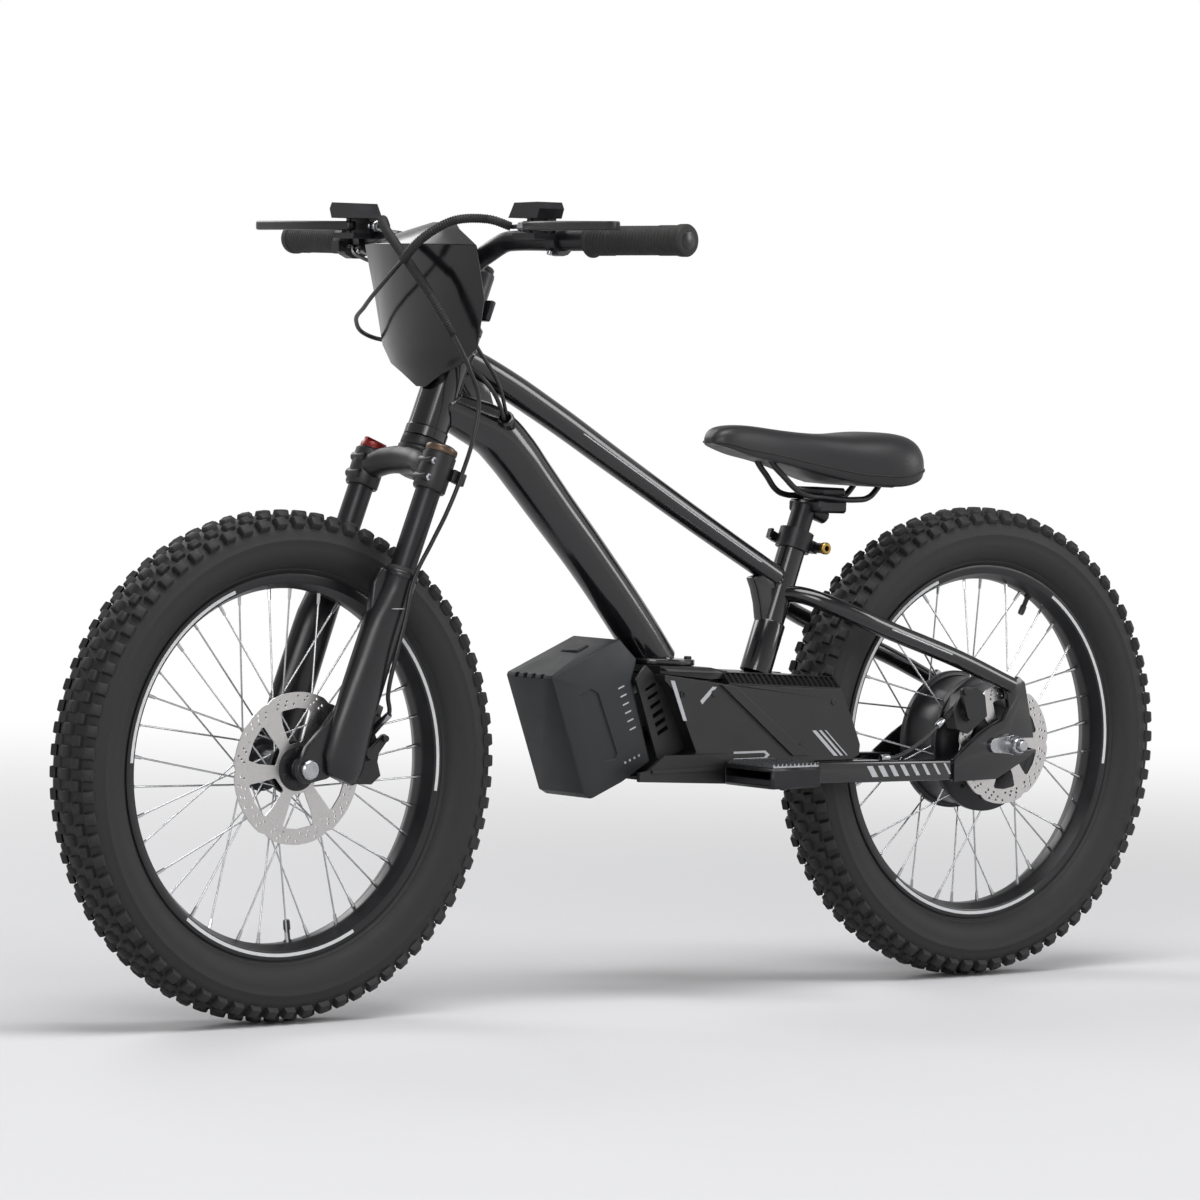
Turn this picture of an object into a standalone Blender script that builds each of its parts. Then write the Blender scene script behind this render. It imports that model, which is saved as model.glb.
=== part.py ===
# Kids electric bike with 20 inch knobby wheels, a suspension fork, a hub motor and a slide-on battery.
# Metres, +X towards the front wheel, +Y to the rider's left, +Z up.
# The origin lies on the ground, midway between the two wheel contacts.

import math

import bmesh
import bpy
from mathutils import Matrix, Vector

MM = 0.001
GAP = 0.3 * MM  # clearance between pieces that touch

# Wheels
WHEELBASE = 1010.0 * MM
TYRE_RADIUS = 278.0 * MM
CASING_HALF_WIDTH = 36.5 * MM
KNOB_HEIGHT = 6.0 * MM
KNOB_TAPER = 0.74
TREAD_PITCHES = 30
RIM_WIDTH = 42.0 * MM
RIM_FLANGE_RADIUS = 209.0 * MM
RIM_SEAT_RADIUS = 203.0 * MM
RIM_BED_RADIUS = 192.5 * MM
RIM_FLANGE_WALL = 1.8 * MM
SPOKE_COUNT = 36
SPOKE_DIAMETER = 2.2 * MM
SPOKE_SPREAD = 3.6 * MM  # from a leading spoke to a trailing one, across a flange
FLANGE_WALL = 4.0 * MM

# Front hub
FRONT_FLANGE_RADIUS = 29.0 * MM
FRONT_FLANGE_OFFSET = 26.0 * MM
FRONT_BARREL_RADIUS = 18.0 * MM
FRONT_HUB_HALF = 49.0 * MM
FRONT_SPOKE_LEAD = 52.0  # degrees round the hub from a spoke's hole in the rim
FRONT_AXLE_DIAMETER = 10.0 * MM
FRONT_NUT_RADIUS = 11.0 * MM

# Hub motor
MOTOR_RADIUS = 81.5 * MM
MOTOR_FLANGE_OFFSET = 27.0 * MM
MOTOR_HALF = 66.5 * MM
MOTOR_SPOKE_LEAD = 14.0
REAR_AXLE_DIAMETER = 14.0 * MM

# Brake rotors
FRONT_ROTOR_RADIUS = 82.5 * MM
REAR_ROTOR_RADIUS = 70.5 * MM
ROTOR_THICKNESS = 1.8 * MM
ROTOR_BAND = 17.0 * MM
ROTOR_BORE = 12.0 * MM
FRONT_ROTOR_SIDE = 38.0 * MM
REAR_ROTOR_SIDE = 61.0 * MM
ROTOR_LOBES = 6
ARM_WALL = 4.0 * MM

# Fork and steering
HEAD_ANGLE = 68.8  # degrees from the ground
FORK_RAKE = 50.9 * MM
FORK_LENGTH = 398.1 * MM  # from the head tube's lower face to the axle, along the steering axis
LEG_OFFSET = 17.5 * MM
LEG_SPREAD = 61.5 * MM
STANCHION_RADIUS = 14.0 * MM
LEG_TOP = 160.0 * MM
LEG_BORE_DEPTH = 132.0 * MM
LEG_TOP_RADIUS = 19.0 * MM
LEG_DEPTH = 25.0 * MM  # half the leg's width from front to back, near the dropout
LEG_LOW_RADIUS = 12.0 * MM
CROWN_TOP = 12.4 * MM
CLAMP_TOP = 22.0 * MM
CLAMP_LENGTH = 42.0 * MM
CLAMP_RADIUS = 18.5 * MM
STANCHION_INSERT = 66.0 * MM  # stanchion inside the leg when the fork is extended
STEERER_RADIUS = 14.3 * MM
STEERER_TOP = 195.0 * MM
ARCH_RADIUS = 10.0 * MM

# Head tube and headset
HEAD_TUBE_LENGTH = 128.0 * MM
HEAD_TUBE_RADIUS = 22.5 * MM
HEAD_BORE_RADIUS = 17.5 * MM
CUP_HEIGHT = 11.8 * MM
SPACER_HEIGHT = 11.0 * MM

# Stem and bar
STEM_LOW = 151.0 * MM
STEM_HIGH = 195.0 * MM
STEM_REACH = 49.2 * MM
STEM_RISE = 178.5 * MM
BAR_RADIUS = 11.1 * MM
BAR_HALF = 350.0 * MM
BAR_RISE = 35.0 * MM
BAR_SWEEP = 9.0  # degrees
BAR_BEND_IN = 40.0 * MM
BAR_BEND_OUT = 104.0 * MM
BAR_SET_BACK = 17.0 * MM
GRIP_LENGTH = 138.0 * MM
GRIP_RADIUS = 16.5 * MM
HOUSING_WIDTH = 23.0 * MM
HOUSING_PLACE = GRIP_LENGTH - 6.0 * MM + 2 * GAP  # from the bar's right end
OUTLET_HALF = 7.0 * MM
LEVER_DROP = 15.0 * MM
PERCH_SIDE = 172.0 * MM
LEVER_LENGTH = 160.0 * MM
LEVER_THICKNESS = 11.0 * MM

# Frame
TOP_TUBE_RADIUS = 16.5 * MM
DOWN_TUBE_RADIUS = 25.5 * MM
SEAT_TUBE_RADIUS = 15.9 * MM
SEAT_POST_RADIUS = 13.6 * MM
SEAT_ANGLE = 19.95  # degrees from upright
SEAT_TUBE_LENGTH = 170.0 * MM
SEAT_POST_TOP = 203.0 * MM
SEAT_POST_LENGTH = 160.0 * MM
STAY_SPREAD = 62.5 * MM
DROPOUT_SIDE = 67.5 * MM
DROPOUT_WALL = 6.0 * MM
CHAINSTAY_HEIGHT = 26.0 * MM
CHAINSTAY_WIDTH = 16.0 * MM
SEAT_STAY_RADIUS = 10.0 * MM

# Case, cradle and footrests
FLANGE_HEIGHT = 7.0 * MM
CASE_HALF_WIDTH = 65.0 * MM
COVER_WALL = 18.0 * MM
LID_HALF_WIDTH = 52.0 * MM
LID_DROP = 12.0 * MM  # down the finned slopes
FIN_COUNT = 21
FIN_WALL = 3.6 * MM
CRADLE_WALL = 4.0 * MM
CRADLE_LIP = 5.0 * MM
FOOTREST_LENGTH = 73.0 * MM
FOOTREST_REACH = 86.0 * MM
FOOTREST_HEIGHT = 23.5 * MM
FOOTREST_WALL = 4.0 * MM
TREAD_RIDGES = 11

# Battery and dock
BATTERY_HALF_WIDTH = 42.0 * MM
BATTERY_TILT = 20.9  # degrees
DOCK_WALL = 4.0 * MM
DOCK_SLOTS = 6
BUTTON_PLACE = 72.0 * MM  # back from the pack's upper front edge
BUTTON_LENGTH = 18.0 * MM
BUTTON_WIDTH = 28.0 * MM
BUTTON_HEIGHT = 5.0 * MM
BUTTON_PROUD = 4.4 * MM
BUTTON_TRAVEL = 2.5 * MM

# Saddle
SADDLE_WIDTH = 152.0 * MM
RAIL_SPREAD = 22.0 * MM
RAIL_RADIUS = 3.5 * MM

# Cables
PORT_RADIUS = 8.4 * MM
PORT_DEPTH = 14.0 * MM
CABLE_RADIUS = 2.4 * MM
WIRE_RADIUS = 2.1 * MM
SLEEVE_RADIUS = 5.5 * MM

# Places that follow from the sizes above
LEFT = 1.0
RIGHT = -1.0
SIDEWAYS = Vector((0.0, 1.0, 0.0))
UP = Vector((0.0, 0.0, 1.0))
FRONT_HUB = Vector((WHEELBASE / 2, 0.0, TYRE_RADIUS))
REAR_HUB = Vector((-WHEELBASE / 2, 0.0, TYRE_RADIUS))
HEAD_LEAN = math.radians(90.0 - HEAD_ANGLE)
STEER_DOWN = Vector((math.sin(HEAD_LEAN), 0.0, -math.cos(HEAD_LEAN)))
STEER_FRONT = Vector((math.cos(HEAD_LEAN), 0.0, math.sin(HEAD_LEAN)))
HEAD_LOW = FRONT_HUB - STEER_DOWN * FORK_LENGTH - STEER_FRONT * FORK_RAKE
SEAT_LEAN = math.radians(SEAT_ANGLE)
SEAT_UP = Vector((-math.sin(SEAT_LEAN), 0.0, math.cos(SEAT_LEAN)))
SEAT_FOOT = REAR_HUB + Vector((334.0 * MM, 0.0, 88.5 * MM))
BAR_BACK = math.radians(BAR_SWEEP)

LID_NOSE = [(519.0, 101.3), (446.0, 98.5), (426.0, 94.6), (421.0, 94.3)]  # the lid's top in mm, from the rear axle
FIN_FRONT = 427.0
FIN_BACK = 259.0

CRADLE_BACK = 298.5
STAY_FRONT = CRADLE_BACK - 1.5 - GAP / MM

PARTS = "kids_electric_bike"
GUIDES = "cutters_and_guides"


# Places

def steer(down, forward=0.0, side=0.0):
    # A point measured from the head tube's lower face, along and in front of the steering axis.
    return HEAD_LOW + STEER_DOWN * down + STEER_FRONT * forward + SIDEWAYS * side


def rear(x, z, side=0.0):
    # A point measured in millimetres from the rear axle.
    return REAR_HUB + Vector((x * MM, side, z * MM))


def seat(up, behind=0.0, side=0.0):
    # A point measured up the seat tube from its foot.
    back = Vector((-math.cos(SEAT_LEAN), 0.0, -math.sin(SEAT_LEAN)))
    return SEAT_FOOT + SEAT_UP * up + back * behind + SIDEWAYS * side


def bar_centre():
    return steer(-STEM_RISE, STEM_REACH)


def bar_point(side):
    # A point on the handlebar's straight outer part, on the side that the sign of side gives.
    out = abs(side) - BAR_BEND_OUT
    back = BAR_SET_BACK + out * math.tan(BAR_BACK)
    return bar_centre() + Vector((-back, side, BAR_RISE + out * 0.01))


def bar_direction(hand):
    return (bar_point(hand * BAR_HALF) - bar_point(hand * PERCH_SIDE)).normalized()


def frame_matrix(origin, x_axis, z_axis):
    y_axis = z_axis.cross(x_axis).normalized()
    turned = Matrix((x_axis.normalized(), y_axis, z_axis.normalized())).transposed()
    return Matrix.Translation(origin) @ turned.to_4x4()


def axis_matrix(origin, axis):
    # Local Z along the axis, local X as near as it gets to world X.
    axis = axis.normalized()
    start = Vector((1.0, 0.0, 0.0))
    if abs(axis.dot(start)) > 0.9:
        start = Vector((0.0, 0.0, 1.0))
    across = (start - axis * axis.dot(start)).normalized()
    return frame_matrix(origin, across, axis)


# Scene, collections and materials

def clear_scene():
    for item in list(bpy.data.objects):
        bpy.data.objects.remove(item, do_unlink=True)
    for label in (PARTS, GUIDES):
        group = bpy.data.collections.new(label)
        bpy.context.scene.collection.children.link(group)


FINISHES = {
    "frame_black": ((0.012, 0.012, 0.014), 0.22, 0.0),
    "satin_black": ((0.02, 0.02, 0.021), 0.45, 0.0),
    "anodised": ((0.03, 0.03, 0.032), 0.35, 0.8),
    "rubber": ((0.025, 0.025, 0.026), 0.8, 0.0),
    "plastic": ((0.035, 0.035, 0.038), 0.55, 0.0),
    "steel": ((0.55, 0.55, 0.56), 0.3, 1.0),
    "silver": ((0.7, 0.7, 0.7), 0.25, 1.0),
    "red": ((0.6, 0.02, 0.02), 0.35, 0.0),
    "vinyl": ((0.06, 0.06, 0.065), 0.6, 0.0),
    "cable": ((0.02, 0.02, 0.02), 0.5, 0.0),
}


def finish(label):
    found = bpy.data.materials.get(label)
    if found:
        return found
    colour, roughness, metallic = FINISHES[label]
    made = bpy.data.materials.new(label)
    made.use_nodes = True
    shader = made.node_tree.nodes["Principled BSDF"]
    shader.inputs["Base Color"].default_value = (*colour, 1.0)
    shader.inputs["Roughness"].default_value = roughness
    shader.inputs["Metallic"].default_value = metallic
    made.diffuse_color = (*colour, 1.0)
    return made


def put(item, group):
    for owner in list(item.users_collection):
        owner.objects.unlink(item)
    bpy.data.collections[group].objects.link(item)
    return item


def guide(item):
    put(item, GUIDES)
    item.hide_render = True
    item.display_type = "WIRE"
    return item


def part(item, name, look, holder=None):
    item.name = name
    item.data.name = name
    item.data.materials.clear()
    item.data.materials.append(finish(look))
    put(item, PARTS)
    if holder:
        inverse = holder.matrix_world.inverted()
        item.parent = holder
        item.matrix_parent_inverse = inverse
    return item


def pivot(name, place, axis, holder=None):
    # An empty whose Z runs along a joint's axis.
    item = bpy.data.objects.new(name, None)
    put(item, PARTS)
    item.empty_display_size = 0.03
    item.matrix_world = axis_matrix(place, axis)
    bpy.context.view_layer.update()
    if holder:
        world = item.matrix_world.copy()
        item.parent = holder
        item.matrix_parent_inverse = holder.matrix_world.inverted()
        item.matrix_world = world
        bpy.context.view_layer.update()
    return item


# Shapes

def from_bmesh(mesh_data, smooth=False, matrix=None):
    mesh = bpy.data.meshes.new("shape")
    mesh_data.to_mesh(mesh)
    mesh_data.free()
    if smooth:
        mesh.shade_smooth()
        mesh.set_sharp_from_angle(angle=math.radians(35.0))
    item = bpy.data.objects.new("shape", mesh)
    bpy.data.collections[PARTS].objects.link(item)
    if matrix is not None:
        item.matrix_world = matrix
    bpy.context.view_layer.update()
    return item


def block(size, matrix, bevel=0.0):
    # A box of a full size, centred on the matrix, with its scale in its mesh.
    data = bmesh.new()
    bmesh.ops.create_cube(data, size=1.0)
    bmesh.ops.scale(data, vec=Vector(size), verts=data.verts)
    item = from_bmesh(data, matrix=matrix)
    if bevel:
        rounding = item.modifiers.new("edges", "BEVEL")
        rounding.width = bevel
        rounding.segments = 1
    return item


def world_block(size, centre, bevel=0.0):
    return block(size, Matrix.Translation(centre), bevel)


def rod(start, end, radius, end_radius=None, sides=20):
    # A cylinder or a cone frustum between two points.
    data = bmesh.new()
    run = end - start
    top = radius if end_radius is None else end_radius
    bmesh.ops.create_cone(data, cap_ends=True, segments=sides, radius1=radius, radius2=top, depth=run.length)
    return from_bmesh(data, smooth=True, matrix=axis_matrix((start + end) / 2, run))


def turned(profile, matrix, steps=24, closed=True):
    # A profile of (radius, height) points turned about the matrix's Z axis.
    # It runs down its outer side, and is closed into a ring or has both ends on the axis.
    mesh = bpy.data.meshes.new("turned")
    edges = [(index, index + 1) for index in range(len(profile) - 1)]
    if closed:
        edges.append((len(profile) - 1, 0))
    mesh.from_pydata([(radius, 0.0, height) for radius, height in profile], edges, [])
    item = bpy.data.objects.new("turned", mesh)
    bpy.data.collections[PARTS].objects.link(item)
    item.matrix_world = matrix
    screw = item.modifiers.new("turn", "SCREW")
    screw.axis = "Z"
    screw.steps = steps
    screw.render_steps = steps
    screw.use_merge_vertices = True
    screw.merge_threshold = 0.00001
    bpy.context.view_layer.update()
    return item


def wheel_matrix(hub):
    # Local Z along +Y, so that a turned profile's height is a distance to the left.
    return frame_matrix(hub, Vector((1.0, 0.0, 0.0)), SIDEWAYS)


def curve_data(points, depth, radii=None, cyclic=False, resolution=2):
    data = bpy.data.curves.new("run", "CURVE")
    data.dimensions = "3D"
    data.bevel_depth = depth
    data.bevel_resolution = resolution
    data.use_fill_caps = True
    spline = data.splines.new("POLY")
    spline.points.add(len(points) - 1)
    spline.use_cyclic_u = cyclic
    for index, place in enumerate(points):
        spline.points[index].co = (*place, 1.0)
        if radii:
            spline.points[index].radius = radii[index]
    return data


def as_mesh(item):
    # A curve object's evaluated shape as a mesh object with its caps welded on.
    depsgraph = bpy.context.evaluated_depsgraph_get()
    mesh = bpy.data.meshes.new_from_object(item.evaluated_get(depsgraph))
    data = bmesh.new()
    data.from_mesh(mesh)
    bmesh.ops.remove_doubles(data, verts=data.verts, dist=0.00001)
    bmesh.ops.recalc_face_normals(data, faces=data.faces)
    data.to_mesh(mesh)
    data.free()
    made = bpy.data.objects.new("shape", mesh)
    bpy.data.collections[PARTS].objects.link(made)
    made.matrix_world = item.matrix_world
    bpy.data.objects.remove(item, do_unlink=True)
    bpy.context.view_layer.update()
    return made


def tube(points, radius, radii=None, resolution=2):
    # A tube along points, with its radius times a factor at each point.
    data = curve_data(points, radius, radii, resolution=resolution)
    item = bpy.data.objects.new("tube", data)
    bpy.data.collections[PARTS].objects.link(item)
    bpy.context.view_layer.update()
    made = as_mesh(item)
    made.data.shade_smooth()
    made.data.set_sharp_from_angle(angle=math.radians(40.0))
    return made


def cord(points, radius, steps, boot=0):
    # A cable on a smooth curve through its route's own points, with a thick boot over its first ones.
    route = smooth_route(points, steps)
    if not boot:
        return tube(route, radius, resolution=1)
    thick = SLEEVE_RADIUS / radius
    edge = route[boot] + (route[boot + 1] - route[boot]).normalized() * 0.8 * MM
    places = route[:boot + 1] + [edge] + route[boot + 1:]
    radii = [thick] * (boot + 1) + [1.0] * (len(places) - boot - 1)
    return tube(places, radius, radii, resolution=1)


def smooth_route(points, steps):
    # Catmull-Rom points through the route, so that a cable bends smoothly.
    spread = [points[0] * 2 - points[1]] + list(points) + [points[-1] * 2 - points[-2]]
    route = []
    for index in range(1, len(spread) - 2):
        before, start, end, after = spread[index - 1:index + 3]
        for step in range(steps):
            t = step / steps
            route.append(0.5 * (
                start * 2
                + (end - before) * t
                + (before * 2 - start * 5 + end * 4 - after) * t ** 2
                + (start * 3 - before - end * 3 + after) * t ** 3
            ))
    route.append(points[-1])
    return route


def outline(loops, thickness, matrix):
    # A flat shape from loops of (x, y) points, centred on the matrix's XY plane. Inner loops are holes.
    data = bpy.data.curves.new("outline", "CURVE")
    data.dimensions = "2D"
    data.fill_mode = "BOTH"
    data.extrude = thickness / 2
    for loop in loops:
        spline = data.splines.new("POLY")
        spline.points.add(len(loop) - 1)
        spline.use_cyclic_u = True
        for index, (x, y) in enumerate(loop):
            spline.points[index].co = (x, y, 0.0, 1.0)
    item = bpy.data.objects.new("outline", data)
    bpy.data.collections[PARTS].objects.link(item)
    item.matrix_world = matrix
    bpy.context.view_layer.update()
    return as_mesh(item)


def side_matrix(origin, side):
    # The bike's side plane at a distance to the left: local X forward, local Y up.
    place = Vector((origin.x, side, origin.z))
    return frame_matrix(place, Vector((1.0, 0.0, 0.0)), -SIDEWAYS)


def side_outline(points, inner, outer, origin=None, scale=MM):
    # A side view outline between two distances from the bike's centre plane.
    base = REAR_HUB if origin is None else origin
    loop = [(x * scale, z * scale) for x, z in points]
    return outline([loop], abs(outer - inner), side_matrix(base, (inner + outer) / 2))


def steer_outline(points, inner, outer):
    # The same in (down, forward) millimetres on the steering axis.
    matrix = frame_matrix(steer(0.0, 0.0, (inner + outer) / 2), STEER_DOWN, -SIDEWAYS)
    loop = [(down * MM, forward * MM) for down, forward in points]
    return outline([loop], abs(outer - inner), matrix)


def arc(centre, radius, start, end, count):
    # Points on an arc, in degrees, in the units of the centre.
    turn = (end - start) / (count - 1)
    angles = [math.radians(start + turn * index) for index in range(count)]
    return [(centre[0] + radius * math.cos(a), centre[1] + radius * math.sin(a)) for a in angles]


def combine(base, others, operation="UNION"):
    for other in others:
        joint = base.modifiers.new(operation.lower(), "BOOLEAN")
        joint.operation = operation
        joint.solver = "EXACT"
        joint.object = guide(other)
    return base


def cut(base, others):
    return combine(base, others, "DIFFERENCE")


def mirrored(item):
    # The same shape on the other side of the bike, baked from what the first evaluates to.
    bpy.context.view_layer.update()
    depsgraph = bpy.context.evaluated_depsgraph_get()
    mesh = bpy.data.meshes.new_from_object(item.evaluated_get(depsgraph))
    data = bmesh.new()
    data.from_mesh(mesh)
    bmesh.ops.transform(data, matrix=Matrix.Diagonal((1.0, -1.0, 1.0, 1.0)) @ item.matrix_world, verts=data.verts)
    bmesh.ops.reverse_faces(data, faces=data.faces)
    data.to_mesh(mesh)
    data.free()
    made = bpy.data.objects.new("mirrored", mesh)
    bpy.data.collections[PARTS].objects.link(made)
    bpy.context.view_layer.update()
    return made


# Wheels

def tyre_half_profile():
    # (radius, side) points of the casing, from the bead out to the crown, and back along its inside.
    bead = RIM_WIDTH / 2 - RIM_FLANGE_WALL - GAP
    crown = TYRE_RADIUS - KNOB_HEIGHT
    inner_wall = 3.5 * MM
    tread_wall = 5.5 * MM
    outside = [
        (RIM_SEAT_RADIUS + GAP, bead),
        (RIM_FLANGE_RADIUS + 2 * GAP, bead),
        (RIM_FLANGE_RADIUS + 21.0 * MM, CASING_HALF_WIDTH - 1.0 * MM),
        (crown - 16.5 * MM, CASING_HALF_WIDTH - 2.5 * MM),
        (crown - 4.0 * MM, CASING_HALF_WIDTH - 14.5 * MM),
        (crown, CASING_HALF_WIDTH - 28.0 * MM),
    ]
    inside = [
        (crown - 4.0 * MM - tread_wall, CASING_HALF_WIDTH - 17.0 * MM),
        (RIM_FLANGE_RADIUS + 24.0 * MM, CASING_HALF_WIDTH - inner_wall),
        (RIM_SEAT_RADIUS + GAP, bead - inner_wall),
    ]
    return outside, inside


def knob_height(face, pitch):
    # The shoulder carries a knob at every pitch, the crown one at every other pitch.
    shoulder = CASING_HALF_WIDTH - 11.0 * MM
    side = abs(face.calc_center_median().z)
    outward = face.normal.x ** 2 + face.normal.y ** 2 > 0.3
    if side > CASING_HALF_WIDTH - 4.0 * MM or not outward:
        return 0.0
    if side > shoulder:
        return KNOB_HEIGHT
    middle = side < 1.0 * MM
    if middle == (pitch % 2 == 0):
        return KNOB_HEIGHT
    return 0.0


def make_tyre(name, hub, holder):
    outside, inside = tyre_half_profile()
    profile = outside + [(r, -y) for r, y in reversed(outside)]
    profile += [(r, -y) for r, y in reversed(inside)] + inside
    half_pitch = math.pi / TREAD_PITCHES
    data = bmesh.new()
    stretch = 1.0 / math.cos(half_pitch)  # so that the flat of a facet, not its corner, is at the radius
    ring = [data.verts.new((r * stretch, 0.0, y)) for r, y in profile]
    edges = [data.edges.new((ring[i - 1], ring[i])) for i in range(len(ring))]
    bmesh.ops.rotate(data, verts=ring, cent=(0, 0, 0), matrix=Matrix.Rotation(half_pitch, 3, "Z"))
    bmesh.ops.spin(data, geom=ring + edges, cent=(0, 0, 0), axis=(0, 0, 1), angle=2 * math.pi,
                   steps=TREAD_PITCHES, use_merge=True)
    bmesh.ops.recalc_face_normals(data, faces=data.faces)
    inner_limit = TYRE_RADIUS - KNOB_HEIGHT - 16.0 * MM
    for face in list(data.faces):
        centre = face.calc_center_median()
        if math.hypot(centre.x, centre.y) < inner_limit:
            continue
        if face.normal.x * centre.x + face.normal.y * centre.y < 0:
            continue
        pitch = round((math.atan2(centre.y, centre.x) - math.pi / 2) / (2 * half_pitch)) % TREAD_PITCHES
        height = knob_height(face, pitch)
        if not height:
            continue
        normal = face.normal.copy()
        top = bmesh.ops.extrude_discrete_faces(data, faces=[face])["faces"][0]
        middle = top.calc_center_median()
        for vert in top.verts:
            vert.co = middle + (vert.co - middle) * KNOB_TAPER + normal * height
    item = from_bmesh(data, smooth=True, matrix=wheel_matrix(hub))
    return part(item, name, "rubber", holder)


def make_rim(name, hub, holder):
    half = RIM_WIDTH / 2
    seat_half = half - RIM_FLANGE_WALL
    bed_half = 7.0 * MM
    stretch = 1.0 / math.cos(math.pi / TREAD_PITCHES)
    profile = [
        (RIM_FLANGE_RADIUS, half),
        (RIM_BED_RADIUS + 7.0 * MM, half),
        (RIM_BED_RADIUS, bed_half),
        (RIM_BED_RADIUS, -bed_half),
        (RIM_BED_RADIUS + 7.0 * MM, -half),
        (RIM_FLANGE_RADIUS, -half),
        (RIM_FLANGE_RADIUS, -seat_half),
        (RIM_SEAT_RADIUS, -seat_half),
        (RIM_SEAT_RADIUS, seat_half),
        (RIM_FLANGE_RADIUS, seat_half),
    ]
    profile = [(r * stretch, y) for r, y in reversed(profile)]
    turn = Matrix.Rotation(math.pi / TREAD_PITCHES, 4, "Z")
    item = turned(profile, wheel_matrix(hub) @ turn, TREAD_PITCHES)
    return part(item, name, "satin_black", holder)


def make_spokes(hub, hub_radius, flange_offset, lead):
    # Leading spokes leave the outer face of a flange and trailing ones its inner face.
    data = bmesh.new()
    reach = RIM_BED_RADIUS - 2 * GAP
    step = 2 * math.pi / SPOKE_COUNT
    for index in range(SPOKE_COUNT):
        hand = LEFT if index % 2 == 0 else RIGHT
        leading = 1.0 if index % 4 < 2 else -1.0
        rim_angle = (index + 0.5) * step
        hub_angle = rim_angle + leading * math.radians(lead)
        hub_side = hand * (flange_offset + leading * SPOKE_SPREAD / 2)
        start = Vector((hub_radius * math.cos(hub_angle), hub_radius * math.sin(hub_angle), hub_side))
        end = Vector((reach * math.cos(rim_angle), reach * math.sin(rim_angle), hand * 4.0 * MM))
        matrix = axis_matrix((start + end) / 2, end - start)
        bmesh.ops.create_cone(data, cap_ends=True, segments=3, radius1=SPOKE_DIAMETER / 2,
                              radius2=SPOKE_DIAMETER / 2, depth=(end - start).length, matrix=matrix)
    return from_bmesh(data, matrix=wheel_matrix(hub))


def make_front_hub(holder):
    bore = FRONT_AXLE_DIAMETER / 2 + 0.6 * MM
    seat_side = FRONT_ROTOR_SIDE - ROTOR_THICKNESS / 2 - GAP
    nose = ROTOR_BORE - GAP
    outer = FRONT_FLANGE_OFFSET + FLANGE_WALL / 2
    inner = FRONT_FLANGE_OFFSET - FLANGE_WALL / 2
    profile = [
        (bore, FRONT_HUB_HALF),
        (nose, FRONT_HUB_HALF),
        (nose, seat_side),
        (22.0 * MM, seat_side),
        (22.0 * MM, outer),
        (FRONT_FLANGE_RADIUS, outer),
        (FRONT_FLANGE_RADIUS, inner),
        (FRONT_BARREL_RADIUS, inner - 3.0 * MM),
        (FRONT_BARREL_RADIUS, 3.0 * MM - inner),
        (FRONT_FLANGE_RADIUS, -inner),
        (FRONT_FLANGE_RADIUS, -outer),
        (nose + 3.0 * MM, -outer - 3.0 * MM),
        (nose, -FRONT_HUB_HALF),
        (bore, -FRONT_HUB_HALF),
    ]
    shell = turned(profile, wheel_matrix(FRONT_HUB), 16)
    spokes = make_spokes(FRONT_HUB, FRONT_FLANGE_RADIUS - 3.0 * MM, FRONT_FLANGE_OFFSET, FRONT_SPOKE_LEAD)
    return part(combine(shell, [spokes]), "front_hub_and_spokes", "anodised", holder)


def make_motor(holder):
    bore = REAR_AXLE_DIAMETER / 2 + 0.8 * MM
    seat_side = REAR_ROTOR_SIDE - ROTOR_THICKNESS / 2 - GAP
    nose = ROTOR_BORE - GAP
    drum = MOTOR_FLANGE_OFFSET + FLANGE_WALL
    profile = [
        (bore, MOTOR_HALF),
        (nose, MOTOR_HALF),
        (nose, seat_side),
        (26.0 * MM, seat_side),
        (30.0 * MM, drum + 9.0 * MM),
        (MOTOR_RADIUS - 22.0 * MM, drum + 7.0 * MM),
        (MOTOR_RADIUS - 5.0 * MM, drum),
        (MOTOR_RADIUS, drum - 1.0 * MM),
        (MOTOR_RADIUS, 1.0 * MM - drum),
        (MOTOR_RADIUS - 5.0 * MM, -drum),
        (MOTOR_RADIUS - 22.0 * MM, -drum - 7.0 * MM),
        (30.0 * MM, -drum - 12.0 * MM),
        (18.0 * MM, -MOTOR_HALF),
        (bore, -MOTOR_HALF),
    ]
    shell = turned(profile, wheel_matrix(REAR_HUB), 24)
    spokes = make_spokes(REAR_HUB, MOTOR_RADIUS - 3.0 * MM, MOTOR_FLANGE_OFFSET, MOTOR_SPOKE_LEAD)
    return part(combine(shell, [spokes]), "hub_motor_and_spokes", "satin_black", holder)


def polar(radius, degrees):
    return (radius * math.cos(math.radians(degrees)), radius * math.sin(math.radians(degrees)))


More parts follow.
